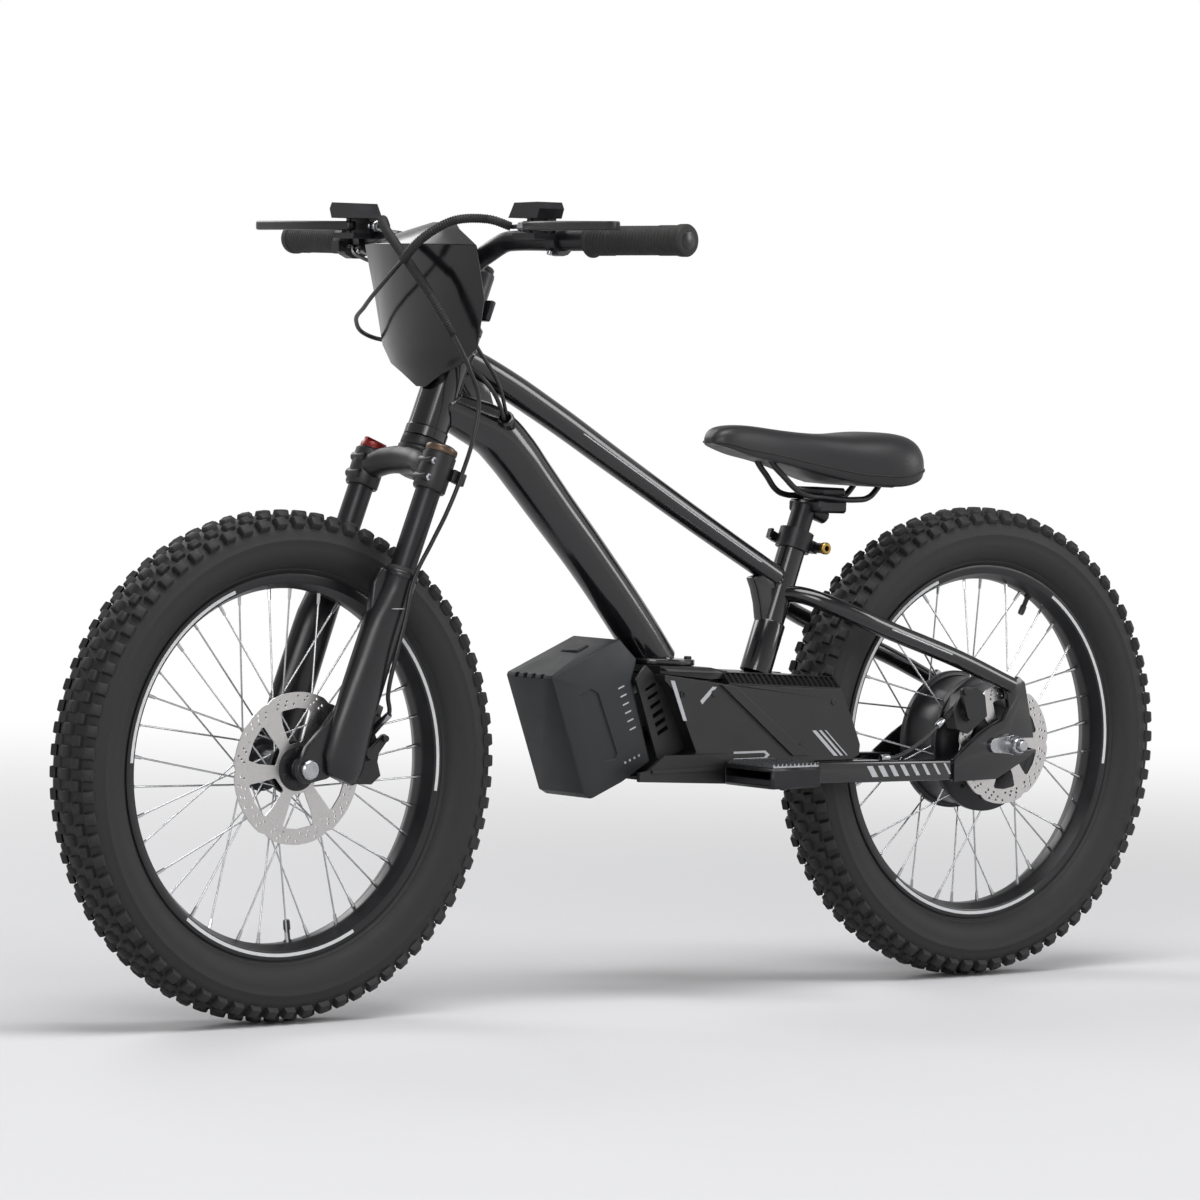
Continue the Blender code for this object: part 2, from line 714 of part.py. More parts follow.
def make_rotor(name, hub, side, radius, holder):
    # A wavy rim with vent slots, carried on six arms.
    band = radius - ROTOR_BAND
    notch = 2.2 * MM
    sector = 360.0 / ROTOR_LOBES
    rim = []
    windows = []
    for lobe in range(ROTOR_LOBES):
        start = lobe * sector
        rim.append(polar(radius - notch, start))
        rim += [polar(radius, start + sector * along) for along in (0.08, 0.29, 0.5, 0.71, 0.92)]
        windows.append([polar(29.0 * MM, start + 8), polar(band, start + 9), polar(band, start + 28),
                        polar(band, start + 46), polar(31.0 * MM, start + 42)])
        for vent in (12.0, 40.0):
            windows.append([polar(band + 4.0 * MM, start + vent - 3), polar(band + 4.0 * MM, start + vent + 3),
                            polar(band + 11.0 * MM, start + vent + 6)])
    bore = [polar(ROTOR_BORE / math.cos(math.pi / 10), 36.0 * corner) for corner in range(10)]
    matrix = frame_matrix(Vector((hub.x, side, hub.z)), Vector((1.0, 0.0, 0.0)), SIDEWAYS)
    return part(outline([rim, bore] + windows, ROTOR_THICKNESS, matrix), name, "steel", holder)


# Fork

def leg_sections(hand):
    # Rings of the cast leg from its round top to its broad, flat-sided foot:
    # place along and in front of the steering axis, half depth, half width.
    foot = FORK_LENGTH
    rows = [
        (LEG_TOP, LEG_OFFSET, LEG_TOP_RADIUS - 2.0 * MM, LEG_TOP_RADIUS - 2.0 * MM),
        (LEG_TOP + 2.0 * MM, LEG_OFFSET, LEG_TOP_RADIUS, LEG_TOP_RADIUS),
        (LEG_TOP + 20.0 * MM, LEG_OFFSET, LEG_TOP_RADIUS + 0.5 * MM, LEG_TOP_RADIUS),
        (LEG_TOP + 58.0 * MM, LEG_OFFSET + 2.0 * MM, LEG_DEPTH - 1.5 * MM, LEG_TOP_RADIUS - 1.0 * MM),
        (LEG_TOP + LEG_BORE_DEPTH + 8.0 * MM, LEG_OFFSET + 1.0 * MM, LEG_DEPTH, LEG_TOP_RADIUS - 2.4 * MM),
        (foot - 22.0 * MM, LEG_OFFSET - 6.0 * MM, LEG_DEPTH + 2.0 * MM, LEG_LOW_RADIUS),
        (foot - 3.0 * MM, LEG_OFFSET - 9.0 * MM, LEG_DEPTH - 5.0 * MM, LEG_LOW_RADIUS - 3.0 * MM),
    ]
    rings = []
    for down, forward, depth, width in rows:
        angles = [2 * math.pi * index / 12 for index in range(12)]
        rings.append([steer(down, forward + depth * math.cos(a), hand * LEG_SPREAD + width * math.sin(a)) for a in angles])
    return rings


def steer_matrix(down=0.0, forward=0.0, side=0.0):
    # Local X forward of the steering axis, local Z up along it.
    return frame_matrix(steer(down, forward, side), STEER_FRONT, -STEER_DOWN)


def make_lowers(holder):
    legs = [from_bmesh(loft_sections(leg_sections(hand)), smooth=True) for hand in (LEFT, RIGHT)]
    crest = FORK_LENGTH - TYRE_RADIUS - 13.0 * MM - ARCH_RADIUS
    half_arch = [
        (LEG_TOP + 40.0 * MM, LEG_OFFSET + 17.0 * MM, LEG_SPREAD - 2.0 * MM),
        (LEG_TOP + 10.0 * MM, LEG_OFFSET + 28.0 * MM, LEG_SPREAD - 3.0 * MM),
        (crest + 50.0 * MM, LEG_OFFSET + 37.0 * MM, LEG_SPREAD - 6.0 * MM),
        (crest + 24.0 * MM, LEG_OFFSET + 43.0 * MM, LEG_SPREAD - 12.0 * MM),
        (crest + 7.0 * MM, LEG_OFFSET + 46.0 * MM, LEG_SPREAD - 26.0 * MM),
        (crest, LEG_OFFSET + 48.0 * MM, LEG_SPREAD - 45.0 * MM),
    ]
    route = [steer(*place) for place in half_arch]
    route += [steer(down, forward, -side) for down, forward, side in reversed(half_arch)]
    pieces = [tube(route, ARCH_RADIUS, resolution=2)]
    axle = (FORK_LENGTH / MM, FORK_RAKE / MM)
    leg = LEG_OFFSET / MM
    top = LEG_TOP / MM
    foot = [(axle[0] - 92.0, leg + 16.0), (axle[0] - 50.0, leg + 31.0), (axle[0] - 22.0, axle[1] + 10.0)]
    foot += arc(axle, 15.0, 130.0, -30.0, 6)
    foot += [(axle[0] + 1.0, leg + 6.0), (axle[0] - 12.0, leg - 6.0)]
    web = [(top + 4.0, leg + 8.0), (top + 2.0, leg + 28.0), (top + 22.0, leg + 32.0), (top + 60.0, leg + 22.0),
           (top + 76.0, leg + 8.0)]
    for hand in (LEFT, RIGHT):
        pieces.append(steer_outline(foot, hand * 50.0 * MM, hand * 60.0 * MM))
        pieces.append(steer_outline(web, hand * (LEG_SPREAD - 9.0 * MM), hand * (LEG_SPREAD + 4.0 * MM)))
    for down in (306.0, 380.0):
        tab = [(down - 7.0, leg - 14.0), (down - 6.0, leg - 40.0), (down + 6.0, leg - 40.0), (down + 7.0, leg - 14.0)]
        pieces.append(steer_outline(tab, FRONT_ROTOR_SIDE + 6.0 * MM + GAP, 54.0 * MM))
    base = combine(legs[0], [legs[1]] + pieces)
    reach = 80.0 * MM
    cutters = [rod(FRONT_HUB - SIDEWAYS * reach, FRONT_HUB + SIDEWAYS * reach, FRONT_AXLE_DIAMETER / 2 + GAP, sides=14)]
    for hand in (LEFT, RIGHT):
        cutters.append(rod(steer(LEG_TOP - 9.0 * MM, LEG_OFFSET, hand * LEG_SPREAD),
                           steer(LEG_TOP + LEG_BORE_DEPTH, LEG_OFFSET, hand * LEG_SPREAD), STANCHION_RADIUS + 0.4 * MM,
                           sides=16))
    return part(cut(base, cutters), "fork_lowers", "satin_black", holder)


def make_front_axle(holder):
    # The axle with its two cap nuts, which clamp the dropout feet.
    radius = FRONT_AXLE_DIAMETER / 2
    nut = 60.0 * MM + GAP
    end = nut + 6.0 * MM
    half = [(radius, nut), (FRONT_NUT_RADIUS, nut), (FRONT_NUT_RADIUS, end - 2.0 * MM), (FRONT_NUT_RADIUS - 2.0 * MM, end)]
    profile = [(0.0, end)] + [(r, y) for r, y in reversed(half)]
    profile += [(r, -y) for r, y in half] + [(0.0, -end)]
    item = turned(profile, wheel_matrix(FRONT_HUB), 14, closed=False)
    return part(item, "front_axle", "anodised", holder)


def make_stanchion(name, hand, holder):
    foot = LEG_TOP + STANCHION_INSERT
    cap = STANCHION_RADIUS + 2.5 * MM
    cap_top = CLAMP_TOP - 10.0 * MM if hand == LEFT else CLAMP_TOP - 1.0 * MM
    profile = [(0.0, -cap_top), (cap - 4.0 * MM, -cap_top), (cap, -cap_top - 3.0 * MM), (cap, GAP - CLAMP_TOP)]
    if hand == RIGHT:
        profile = [(0.0, -cap_top), (cap, -cap_top), (cap, GAP - CLAMP_TOP)]
    profile += [(STANCHION_RADIUS, GAP - CLAMP_TOP), (STANCHION_RADIUS, -foot + 2.0 * MM),
                (STANCHION_RADIUS - 2.0 * MM, -foot), (0.0, -foot)]
    item = turned(profile, steer_matrix(0.0, LEG_OFFSET, hand * LEG_SPREAD), 16, closed=False)
    return part(item, name, "anodised", holder)


def make_lockout_knob(holder):
    # A turn of the knob on the right leg locks the fork. A raised bar across it is the finger grip.
    base = CLAMP_TOP - 1.0 * MM - GAP
    radius = 15.5 * MM
    matrix = steer_matrix(0.0, LEG_OFFSET, RIGHT * LEG_SPREAD)
    disc = turned([(0.0, -base + 7.0 * MM), (radius - 1.5 * MM, -base + 7.0 * MM), (radius, -base + 5.0 * MM),
                   (radius, -base), (0.0, -base)], matrix, 16, closed=False)
    grip = block((2 * radius - 2.0 * MM, 6.0 * MM, 8.0 * MM), matrix @ Matrix.Translation((0, 0, -base + 7.0 * MM)), 1.0 * MM)
    return part(combine(disc, [grip]), "lockout_knob", "red", holder)


def make_crown(holder):
    low = CLAMP_TOP + CLAMP_LENGTH
    race = 25.5 * MM
    core = turned([(0.0, STEERER_TOP), (STEERER_RADIUS, STEERER_TOP), (STEERER_RADIUS, -CROWN_TOP), (race, -CROWN_TOP),
                   (race - 1.0 * MM, -CROWN_TOP - 16.0 * MM), (race - 8.0 * MM, -CROWN_TOP - 30.0 * MM),
                   (0.0, -CROWN_TOP - 32.0 * MM)], steer_matrix(), 20, closed=False)
    shoulder = CLAMP_TOP + 22.0 * MM
    side = [(-LEG_SPREAD, shoulder, LEG_OFFSET), (-LEG_SPREAD * 0.74, shoulder - 7.0 * MM, LEG_OFFSET + 1.0 * MM),
            (-LEG_SPREAD * 0.4, shoulder - 13.0 * MM, LEG_OFFSET - 1.0 * MM),
            (0.0, shoulder - 15.0 * MM, LEG_OFFSET - 3.0 * MM)]
    side += [(-y, down, forward) for y, down, forward in reversed(side[:-1])]
    arms = tube([steer(down, forward, y) for y, down, forward in side], 15.0 * MM)
    clamps = [rod(steer(CLAMP_TOP, LEG_OFFSET, hand * LEG_SPREAD), steer(low, LEG_OFFSET, hand * LEG_SPREAD),
                  CLAMP_RADIUS, CLAMP_RADIUS - 0.5 * MM, 16) for hand in (LEFT, RIGHT)]
    clip = steer_outline([(CLAMP_TOP / MM + 12, -12), (CLAMP_TOP / MM + 12, 6), (CLAMP_TOP / MM + 26, 6),
                          (CLAMP_TOP / MM + 26, -12)], LEG_SPREAD + 12.0 * MM, LEG_SPREAD + 19.6 * MM)
    bores = [rod(steer(CLAMP_TOP - 9.0 * MM, LEG_OFFSET, hand * LEG_SPREAD),
                 steer(low + 9.0 * MM, LEG_OFFSET, hand * LEG_SPREAD), STANCHION_RADIUS + GAP, sides=16)
             for hand in (LEFT, RIGHT)]
    base = combine(core, [arms] + clamps + [clip])
    return part(cut(base, bores), "fork_crown", "satin_black", holder)


# Front brake

def make_front_caliper(holder):
    outer = FRONT_ROTOR_SIDE + 6.0 * MM
    body = steer_outline([(299, 8), (297, -20), (312, -32), (326, -26), (342, -42), (356, -44), (369, -54), (382, -46),
                          (390, -22), (384, -4), (372, 8), (345, 22), (318, 20)], FRONT_ROTOR_SIDE - 9.0 * MM, outer)
    boss = rod(steer(352 * MM, -26 * MM, outer - 6.0 * MM), steer(352 * MM, -26 * MM, outer + 7.0 * MM), 10.0 * MM,
               8.5 * MM, 12)
    stop = rod(steer(334 * MM, -25 * MM, outer - 5.0 * MM), steer(317 * MM, -23 * MM, outer + 13.0 * MM), 5.0 * MM,
               4.0 * MM, 8)
    disc = rod(FRONT_HUB + SIDEWAYS * (FRONT_ROTOR_SIDE - 1.8 * MM), FRONT_HUB + SIDEWAYS * (FRONT_ROTOR_SIDE + 1.8 * MM),
               FRONT_ROTOR_RADIUS + 2.0 * MM, sides=36)
    return part(cut(combine(body, [boss, stop]), [disc]), "front_caliper", "satin_black", holder)


def make_caliper_arm(name, pivot_point, tip_point, holder):
    # A cranked arm between its pivot boss and the cable anchor.
    run = tip_point - pivot_point
    matrix = frame_matrix(pivot_point, run, SIDEWAYS)
    length = run.length
    loop = arc((0.0, 0.0), 8.0 * MM, 60.0, 300.0, 7) + arc((length, 0.0), 5.0 * MM, -80.0, 80.0, 5)
    arm = outline([loop], ARM_WALL, matrix)
    anchor = rod(tip_point - SIDEWAYS * 1.0 * MM, tip_point + SIDEWAYS * 6.0 * MM, 4.0 * MM, sides=8)
    return part(combine(arm, [anchor]), name, "steel", holder)


# Frame

def lid_clearance():
    # A cutter up to the lid's top, so that what stands on the lid is cut to its slope.
    over = GAP / MM
    line = [(570.0, LID_NOSE[0][1] + over + 1.9)] + [(x, z + over) for x, z in LID_NOSE]
    line += [(LID_NOSE[-1][0], lid_height(LID_NOSE[-1][0]) + over), (250.0, lid_height(250.0) + over)]
    line += [(250.0, 50.0), (570.0, 50.0)]
    return side_outline(line, -CASE_HALF_WIDTH, CASE_HALF_WIDTH)


def down_tube_line():
    # The down tube's upper end, its run to the foot flange, and the way that it bows.
    high_end = steer(-HEAD_TUBE_LENGTH * 0.32, -4.0 * MM)
    drop = rear(484.0, 102.0) - high_end
    bow = Vector((drop.z, 0.0, -drop.x)).normalized()
    return high_end, drop, bow


def cable_port():
    # The mouth of the cable port on the down tube's left, and the way that it faces.
    high_end, drop, bow = down_tube_line()
    mouth = high_end + drop * 0.138 + bow * 39.5 * MM + SIDEWAYS * 30.0 * MM
    return mouth, Vector((0.6, 0.6, 0.5)).normalized()


def make_main_frame():
    head = rod(steer(0.0), steer(-HEAD_TUBE_LENGTH), HEAD_TUBE_RADIUS, sides=20)
    collars = [rod(steer(down), steer(down - 12.0 * MM), HEAD_TUBE_RADIUS + 1.5 * MM, sides=20)
               for down in (-GAP, -HEAD_TUBE_LENGTH + 12.0 * MM + GAP)]
    seat_top = seat(SEAT_TUBE_LENGTH)
    crown_end = steer(-HEAD_TUBE_LENGTH + 26.0 * MM)
    lug = seat(110.0 * MM)
    reach = lug - crown_end
    top_route = [crown_end, crown_end + reach * 0.12 + UP * 6.0 * MM, crown_end + reach * 0.26 + UP * 7.5 * MM,
                 crown_end + reach * 0.5 + UP * 4.0 * MM, crown_end + reach * 0.75 + UP * 1.0 * MM, lug]
    top_tube = tube(top_route, TOP_TUBE_RADIUS, [1.0, 1.0, 0.97, 0.9, 0.84, 0.78], resolution=3)
    high_end, drop, bow = down_tube_line()
    low_end = high_end + drop
    shape = [(0.0, 2.0, 0.84), (0.09, 18.0, 0.98), (0.18, 31.0, 1.1), (0.25, 32.5, 1.12), (0.345, 29.6, 1.08),
             (0.45, 26.0, 1.04), (0.64, 20.0, 1.0), (0.9, 7.0, 1.0), (1.0, 0.0, 1.0)]
    down_route = [high_end + drop * along + bow * rise * MM for along, rise, swell in shape]
    down_tube = tube(down_route, DOWN_TUBE_RADIUS, [swell for along, rise, swell in shape], resolution=3)
    nose_slope = Vector((LID_NOSE[0][0] - LID_NOSE[1][0], 0.0, LID_NOSE[0][1] - LID_NOSE[1][1])).normalized()
    flange_up = nose_slope.cross(SIDEWAYS) * -1.0
    if flange_up.z < 0:
        flange_up = -flange_up
    flange_foot = rear(478.0, LID_NOSE[1][1] + (478.0 - LID_NOSE[1][0]) * nose_slope.z / nose_slope.x)
    flange_centre = flange_foot + flange_up * (GAP + FLANGE_HEIGHT / 2)
    flange = outline([arc((0.0, 0.0), 1.0, 0.0, 342.0, 20)], FLANGE_HEIGHT,
                     frame_matrix(flange_centre, nose_slope, flange_up)
                     @ Matrix.Diagonal((43.0 * MM, 37.0 * MM, 1.0, 1.0)))
    seat_tube = rod(seat(2.0 * MM), seat_top, SEAT_TUBE_RADIUS, sides=20)
    sleeve = rod(seat(-1.0 * MM), seat(60.0 * MM), SEAT_TUBE_RADIUS + 2.4 * MM, sides=20)
    brace = side_outline([(346.0, 197.0), (340.0, 184.0), (335.0, 167.0), (332.0, 147.0), (318.0, 147.0), (300.0, 182.0),
                          (318.0, 205.0)], -8.0 * MM, 8.0 * MM)
    throat = [(-62.0, -20.0), (-98.0, -20.0), (-84.0, -58.0), (-66.0, -74.0), (-50.0, -52.0)]
    gusset = steer_outline(throat, -7.0 * MM, 7.0 * MM)
    mouth, port_line = cable_port()
    port = rod(mouth - port_line * 44.0 * MM, mouth, PORT_RADIUS + 1.5 * MM, PORT_RADIUS, 10)
    port_bore = rod(mouth - port_line * PORT_DEPTH, mouth + port_line * 9.0 * MM, PORT_RADIUS - 2.2 * MM, sides=10)
    base = combine(head, collars + [top_tube, down_tube, flange, seat_tube, sleeve, brace, gusset, port])
    head_bore = rod(steer(9.0 * MM), steer(-HEAD_TUBE_LENGTH - 9.0 * MM), HEAD_BORE_RADIUS, sides=20)
    post_bore = rod(seat(SEAT_TUBE_LENGTH + 9.0 * MM), seat(20.0 * MM), SEAT_POST_RADIUS + GAP, sides=20)
    cut(base, [head_bore, post_bore, port_bore, lid_clearance()])
    return part(base, "main_frame", "frame_black")


def make_stay(hand):
    # Chainstay, seat stay and dropout plate, welded into one side of the rear triangle.
    inner = STAY_SPREAD - CHAINSTAY_WIDTH / 2
    outer = STAY_SPREAD + CHAINSTAY_WIDTH / 2
    half = CHAINSTAY_HEIGHT / 2 / MM
    chainstay = side_outline([(STAY_FRONT, -24.5 + half), (STAY_FRONT, -24.5 - half), (70.0, -28.5 - half + 2), (70.0, -28.5 + half)],
                             inner, outer)
    plate = side_outline([(88.0, -15.0), (88.0, -41.0), (21.0, -40.0), (-28.0, -17.0), (-40.0, -8.0), (-38.0, 4.0),
                          (-21.0, 73.0), (-11.0, 80.0), (8.0, 66.0), (3.0, 44.0), (12.0, 29.0), (28.0, 23.0), (58.0, 6.0)],
                         DROPOUT_SIDE, DROPOUT_SIDE + DROPOUT_WALL)
    route = [rear(298.0, 178.0, 9.0 * MM), rear(288.0, 177.0, 25.0 * MM), rear(266.0, 168.0, 46.0 * MM),
             rear(236.0, 156.0, 57.0 * MM), rear(200.0, 142.0, 62.0 * MM), rear(80.0, 102.0, 66.0 * MM),
             rear(0.0, 70.0, DROPOUT_SIDE + 5.0 * MM)]
    stay = tube(route, SEAT_STAY_RADIUS, [1.0, 1.0, 1.05, 1.08, 1.08, 1.05, 0.95], resolution=2)
    keep_clear = rod(seat(40.0 * MM), seat(SEAT_TUBE_LENGTH), SEAT_TUBE_RADIUS + GAP, sides=20)
    half_slot = (REAR_AXLE_DIAMETER / 2 + GAP) / MM
    slot = side_outline([(-60.0, -half_slot)] + arc((0.0, 0.0), half_slot / math.cos(math.radians(15.0)), -90.0, 90.0, 7)
                        + [(-60.0, half_slot)], 40.0 * MM, 90.0 * MM)
    pieces = [stay, plate]
    item = cut(combine(chainstay, pieces), [keep_clear, slot])
    if hand == LEFT:
        return part(item, "rear_stay_left", "frame_black")
    flipped = mirrored(item)
    bpy.data.objects.remove(item)
    return part(flipped, "rear_stay_right", "frame_black")


def make_headset():
    inner = STEERER_RADIUS + 0.5 * MM
    outer = HEAD_TUBE_RADIUS + 2.0 * MM
    lower = turned([(inner, -GAP * 2), (outer, -GAP * 2), (outer + 0.5 * MM, -CUP_HEIGHT + 3.0 * MM),
                    (outer - 1.0 * MM, -CUP_HEIGHT), (inner, -CUP_HEIGHT)], steer_matrix(), 16)
    part(lower, "headset_lower_cup", "anodised")
    base = HEAD_TUBE_LENGTH + 2 * GAP
    upper = turned([(inner, base + CUP_HEIGHT), (outer - 5.0 * MM, base + CUP_HEIGHT), (outer, base + CUP_HEIGHT - 5.0 * MM),
                    (outer, base), (inner, base)], steer_matrix(), 16)
    part(upper, "headset_upper_cup", "anodised")


def bar_clamp_block(forward, thickness):
    matrix = frame_matrix(bar_centre() + STEER_FRONT * forward, STEER_FRONT, -STEER_DOWN)
    return block((thickness, 80.0 * MM, 80.0 * MM), matrix)


def make_stem(holder):
    half = 23.0 * MM
    clamp_radius = BAR_RADIUS + 6.0 * MM
    middle = bar_centre()
    barrel = rod(middle - SIDEWAYS * half, middle + SIDEWAYS * half, clamp_radius, sides=16)
    spacer_foot = HEAD_TUBE_LENGTH + CUP_HEIGHT + 3 * GAP
    column = turned([(0.0, STEM_HIGH + 6.0 * MM), (14.0 * MM, STEM_HIGH + 6.0 * MM), (17.5 * MM, STEM_HIGH + 3.0 * MM),
                     (17.5 * MM, STEM_HIGH), (19.3 * MM, STEM_HIGH - 1.0 * MM), (19.3 * MM, STEM_LOW),
                     (17.8 * MM, STEM_LOW - 0.5 * MM), (17.8 * MM, spacer_foot), (0.0, spacer_foot)], steer_matrix(), 16,
                    closed=False)
    neck = tube([steer(-STEM_LOW - 22.0 * MM, 4.0 * MM), steer(-STEM_RISE, STEM_REACH - 4.0 * MM)], 14.0 * MM)
    ears = steer_outline([(-STEM_HIGH / MM + 4, -16), (-STEM_HIGH / MM + 4, -23), (-STEM_LOW / MM - 4, -23),
                          (-STEM_LOW / MM - 4, -16)], -9.0 * MM, 9.0 * MM)
    base = combine(column, [neck, barrel, ears])
    steerer = rod(steer(-spacer_foot + 9.0 * MM), steer(-STEERER_TOP - GAP), STEERER_RADIUS + 2 * GAP, sides=16)
    bar = rod(middle - SIDEWAYS * 60.0 * MM, middle + SIDEWAYS * 60.0 * MM, BAR_RADIUS + GAP, sides=16)
    part(cut(base, [steerer, bar, bar_clamp_block(40.4 * MM, 80.0 * MM)]), "stem", "satin_black", holder)
    face = rod(middle - SIDEWAYS * half, middle + SIDEWAYS * half, clamp_radius, sides=16)
    hollow = rod(middle - SIDEWAYS * 60.0 * MM, middle + SIDEWAYS * 60.0 * MM, BAR_RADIUS + GAP, sides=16)
    part(cut(face, [hollow, bar_clamp_block(-39.6 * MM, 80.0 * MM)]), "stem_faceplate", "satin_black", holder)


def make_handlebar(holder):
    middle = bar_centre()
    half = [(0.0, 0.0, 0.0), (BAR_BEND_IN - 9.0 * MM, 0.0, 0.0), (BAR_BEND_IN, 0.03, 0.04), (BAR_BEND_IN + 10.0 * MM, 0.12, 0.17),
            (BAR_BEND_OUT - 20.0 * MM, 0.72, 0.82), (BAR_BEND_OUT - 9.0 * MM, 0.88, 0.96)]
    side = [middle + Vector((-BAR_SET_BACK * back, y, BAR_RISE * rise)) for y, back, rise in half]
    side += [bar_point(BAR_BEND_OUT), bar_point(BAR_HALF - 6.0 * MM)]
    other = [Vector((place.x, -place.y, place.z)) for place in reversed(side[1:])]
    part(tube(other + side, BAR_RADIUS, resolution=2), "handlebar", "satin_black", holder)


def grip_matrix(hand, along):
    # Local Z outward along the bar, from a distance inside the bar's end.
    direction = bar_direction(hand)
    return axis_matrix(bar_point(hand * BAR_HALF) - direction * along, direction)


def make_grip(name, hand, holder):
    bore = BAR_RADIUS + 0.5 * MM
    end = GRIP_LENGTH
    blind = GRIP_LENGTH - 5.0 * MM
    profile = [(0.0, blind), (bore, blind), (bore, 0.0)]
    outer = [(0.0, end), (GRIP_RADIUS - 2.0 * MM, end), (GRIP_RADIUS + 1.0 * MM, end - 3.0 * MM),
             (GRIP_RADIUS + 1.0 * MM, end - 12.0 * MM), (GRIP_RADIUS, end - 14.0 * MM), (GRIP_RADIUS - 0.7 * MM, end / 2),
             (GRIP_RADIUS, 14.0 * MM), (GRIP_RADIUS + 2.0 * MM, 3.0 * MM), (GRIP_RADIUS + 2.0 * MM, 0.0)]
    item = turned(outer + list(reversed(profile)), grip_matrix(hand, GRIP_LENGTH - 6.0 * MM), 16, closed=False)
    return part(item, name, "rubber", holder)


def throttle_outlet():
    # The centre of the block that the throttle's wire comes out of.
    return bar_point(RIGHT * (BAR_HALF - HOUSING_PLACE - HOUSING_WIDTH / 2)) + Vector((18.0 * MM, 0.0, -8.0 * MM))


def make_throttle_housing(holder):
    inner = BAR_RADIUS + GAP
    width = HOUSING_WIDTH
    matrix = grip_matrix(RIGHT, HOUSING_PLACE)
    shell = turned([(inner, 0.0), (20.0 * MM, 0.0), (22.0 * MM, -3.0 * MM), (22.0 * MM, -width + 3.0 * MM),
                    (18.0 * MM, -width), (inner, -width)], matrix, 14)
    outlet = world_block((18.0 * MM, 2 * OUTLET_HALF, 12.0 * MM), throttle_outlet())
    bar_bore = rod(bar_point(RIGHT * (PERCH_SIDE + 12.0 * MM)), bar_point(RIGHT * (BAR_HALF - 40.0 * MM)), inner + 0.1 * MM, sides=14)
    return part(cut(combine(shell, [outlet]), [bar_bore]), "throttle_housing", "plastic", holder)


def lever_pivot(hand):
    return bar_point(hand * PERCH_SIDE) + Vector((34.0 * MM, -hand * 8.0 * MM, LEVER_DROP))


def lever_outlet(hand):
    # The end of the threaded barrel that the brake cable comes out of.
    start = bar_point(hand * PERCH_SIDE) + Vector((15.0 * MM, -hand * 26.0 * MM, LEVER_DROP))
    return start - bar_direction(hand) * 20.0 * MM


def make_perch(name, hand, holder):
    # Bar clamp, flat-topped lever housing, pivot pin and the threaded cable barrel.
    centre = bar_point(hand * PERCH_SIDE)
    direction = bar_direction(hand)
    clamp = rod(centre - direction * 7.0 * MM, centre + direction * 7.0 * MM, BAR_RADIUS + 5.5 * MM, sides=14)
    place = lever_pivot(hand)
    top = 41.0
    low = 23.5
    cap = [(-30.0, low), (-20.0, top - 1.0), (20.0, top), (24.0, top - 7.0), (20.0, low)]
    floor = [(-22.0, 1.0), (-22.0, 7.0), (16.0, 7.0), (16.0, 1.0)]
    web = [(-24.0, 1.0), (-24.0, low + 4.0), (12.0, low + 4.0), (12.0, 1.0)]
    plates = []
    for loop, start, end in ((cap, 8.0, 42.0), (floor, 12.0, 42.0), (web, 9.0, 21.0)):
        middle = centre + Vector(((start + end) / 2 * MM, 0.0, 0.0))
        matrix = frame_matrix(middle, SIDEWAYS * hand, Vector((hand, 0.0, 0.0)))
        points = [((y - 6.0) * MM, z * MM) for y, z in loop]
        plates.append(outline([points], (end - start) * MM, matrix))
    pin = rod(place - UP * 10.0 * MM, place + UP * 10.0 * MM, 3.0 * MM, sides=10)
    barrel_end = lever_outlet(hand)
    barrel = rod(barrel_end + direction * 26.0 * MM, barrel_end, 6.0 * MM, 5.0 * MM, 10)
    base = combine(clamp, plates + [pin, barrel])
    bore = rod(centre - direction * 40.0 * MM, centre + direction * 40.0 * MM, BAR_RADIUS + GAP, sides=14)
    return part(cut(base, [bore]), name, "satin_black", holder)


def make_lever(name, hand, holder):
    # A two-finger blade with a boss round the pivot pin, as a flat outline with rounded edges.
    place = lever_pivot(hand)
    tip = LEVER_LENGTH / MM
    front = [(6.0, 9.0), (24.0, 17.0), (60.0, 21.0), (tip - 40.0, 20.0), (tip - 12.0, 16.0)]
    back = [(tip - 12.0, 4.0), (tip - 40.0, 9.0), (60.0, 10.0), (30.0, 6.0), (12.0, -6.0)]
    loop = front + arc((tip - 4.0, 9.5), 7.0, 100.0, -100.0, 6) + back + arc((0.0, 0.0), 8.5, -60.0, -250.0, 6)
    hole = arc((0.0, 0.0), 3.0 + 0.35, 0.0, 324.0, 10)
    matrix = frame_matrix(place, Vector((0.0, hand, 0.0)), UP * -hand)
    scaled = [[(x * MM, y * MM) for x, y in points] for points in (loop, hole)]
    item = outline(scaled, LEVER_THICKNESS, matrix)
    return part(item, name, "anodised", holder)


PLATE_ROWS = [
    # height above the axles, half width, forward of the bar's centre: middle and edge, all in millimetres
    (412.0, 8.0, 22.0, 22.0),
    (426.0, 34.0, 27.0, 22.0),
    (436.0, 62.0, 31.0, 17.0),
    (456.0, 85.0, 35.0, 12.0),
    (508.0, 98.0, 43.0, 14.0),
    (566.0, 100.0, 48.0, 28.0),
    (581.0, 47.0, 22.0, 10.0),
    (590.0, 20.0, -2.0, -4.0),
]


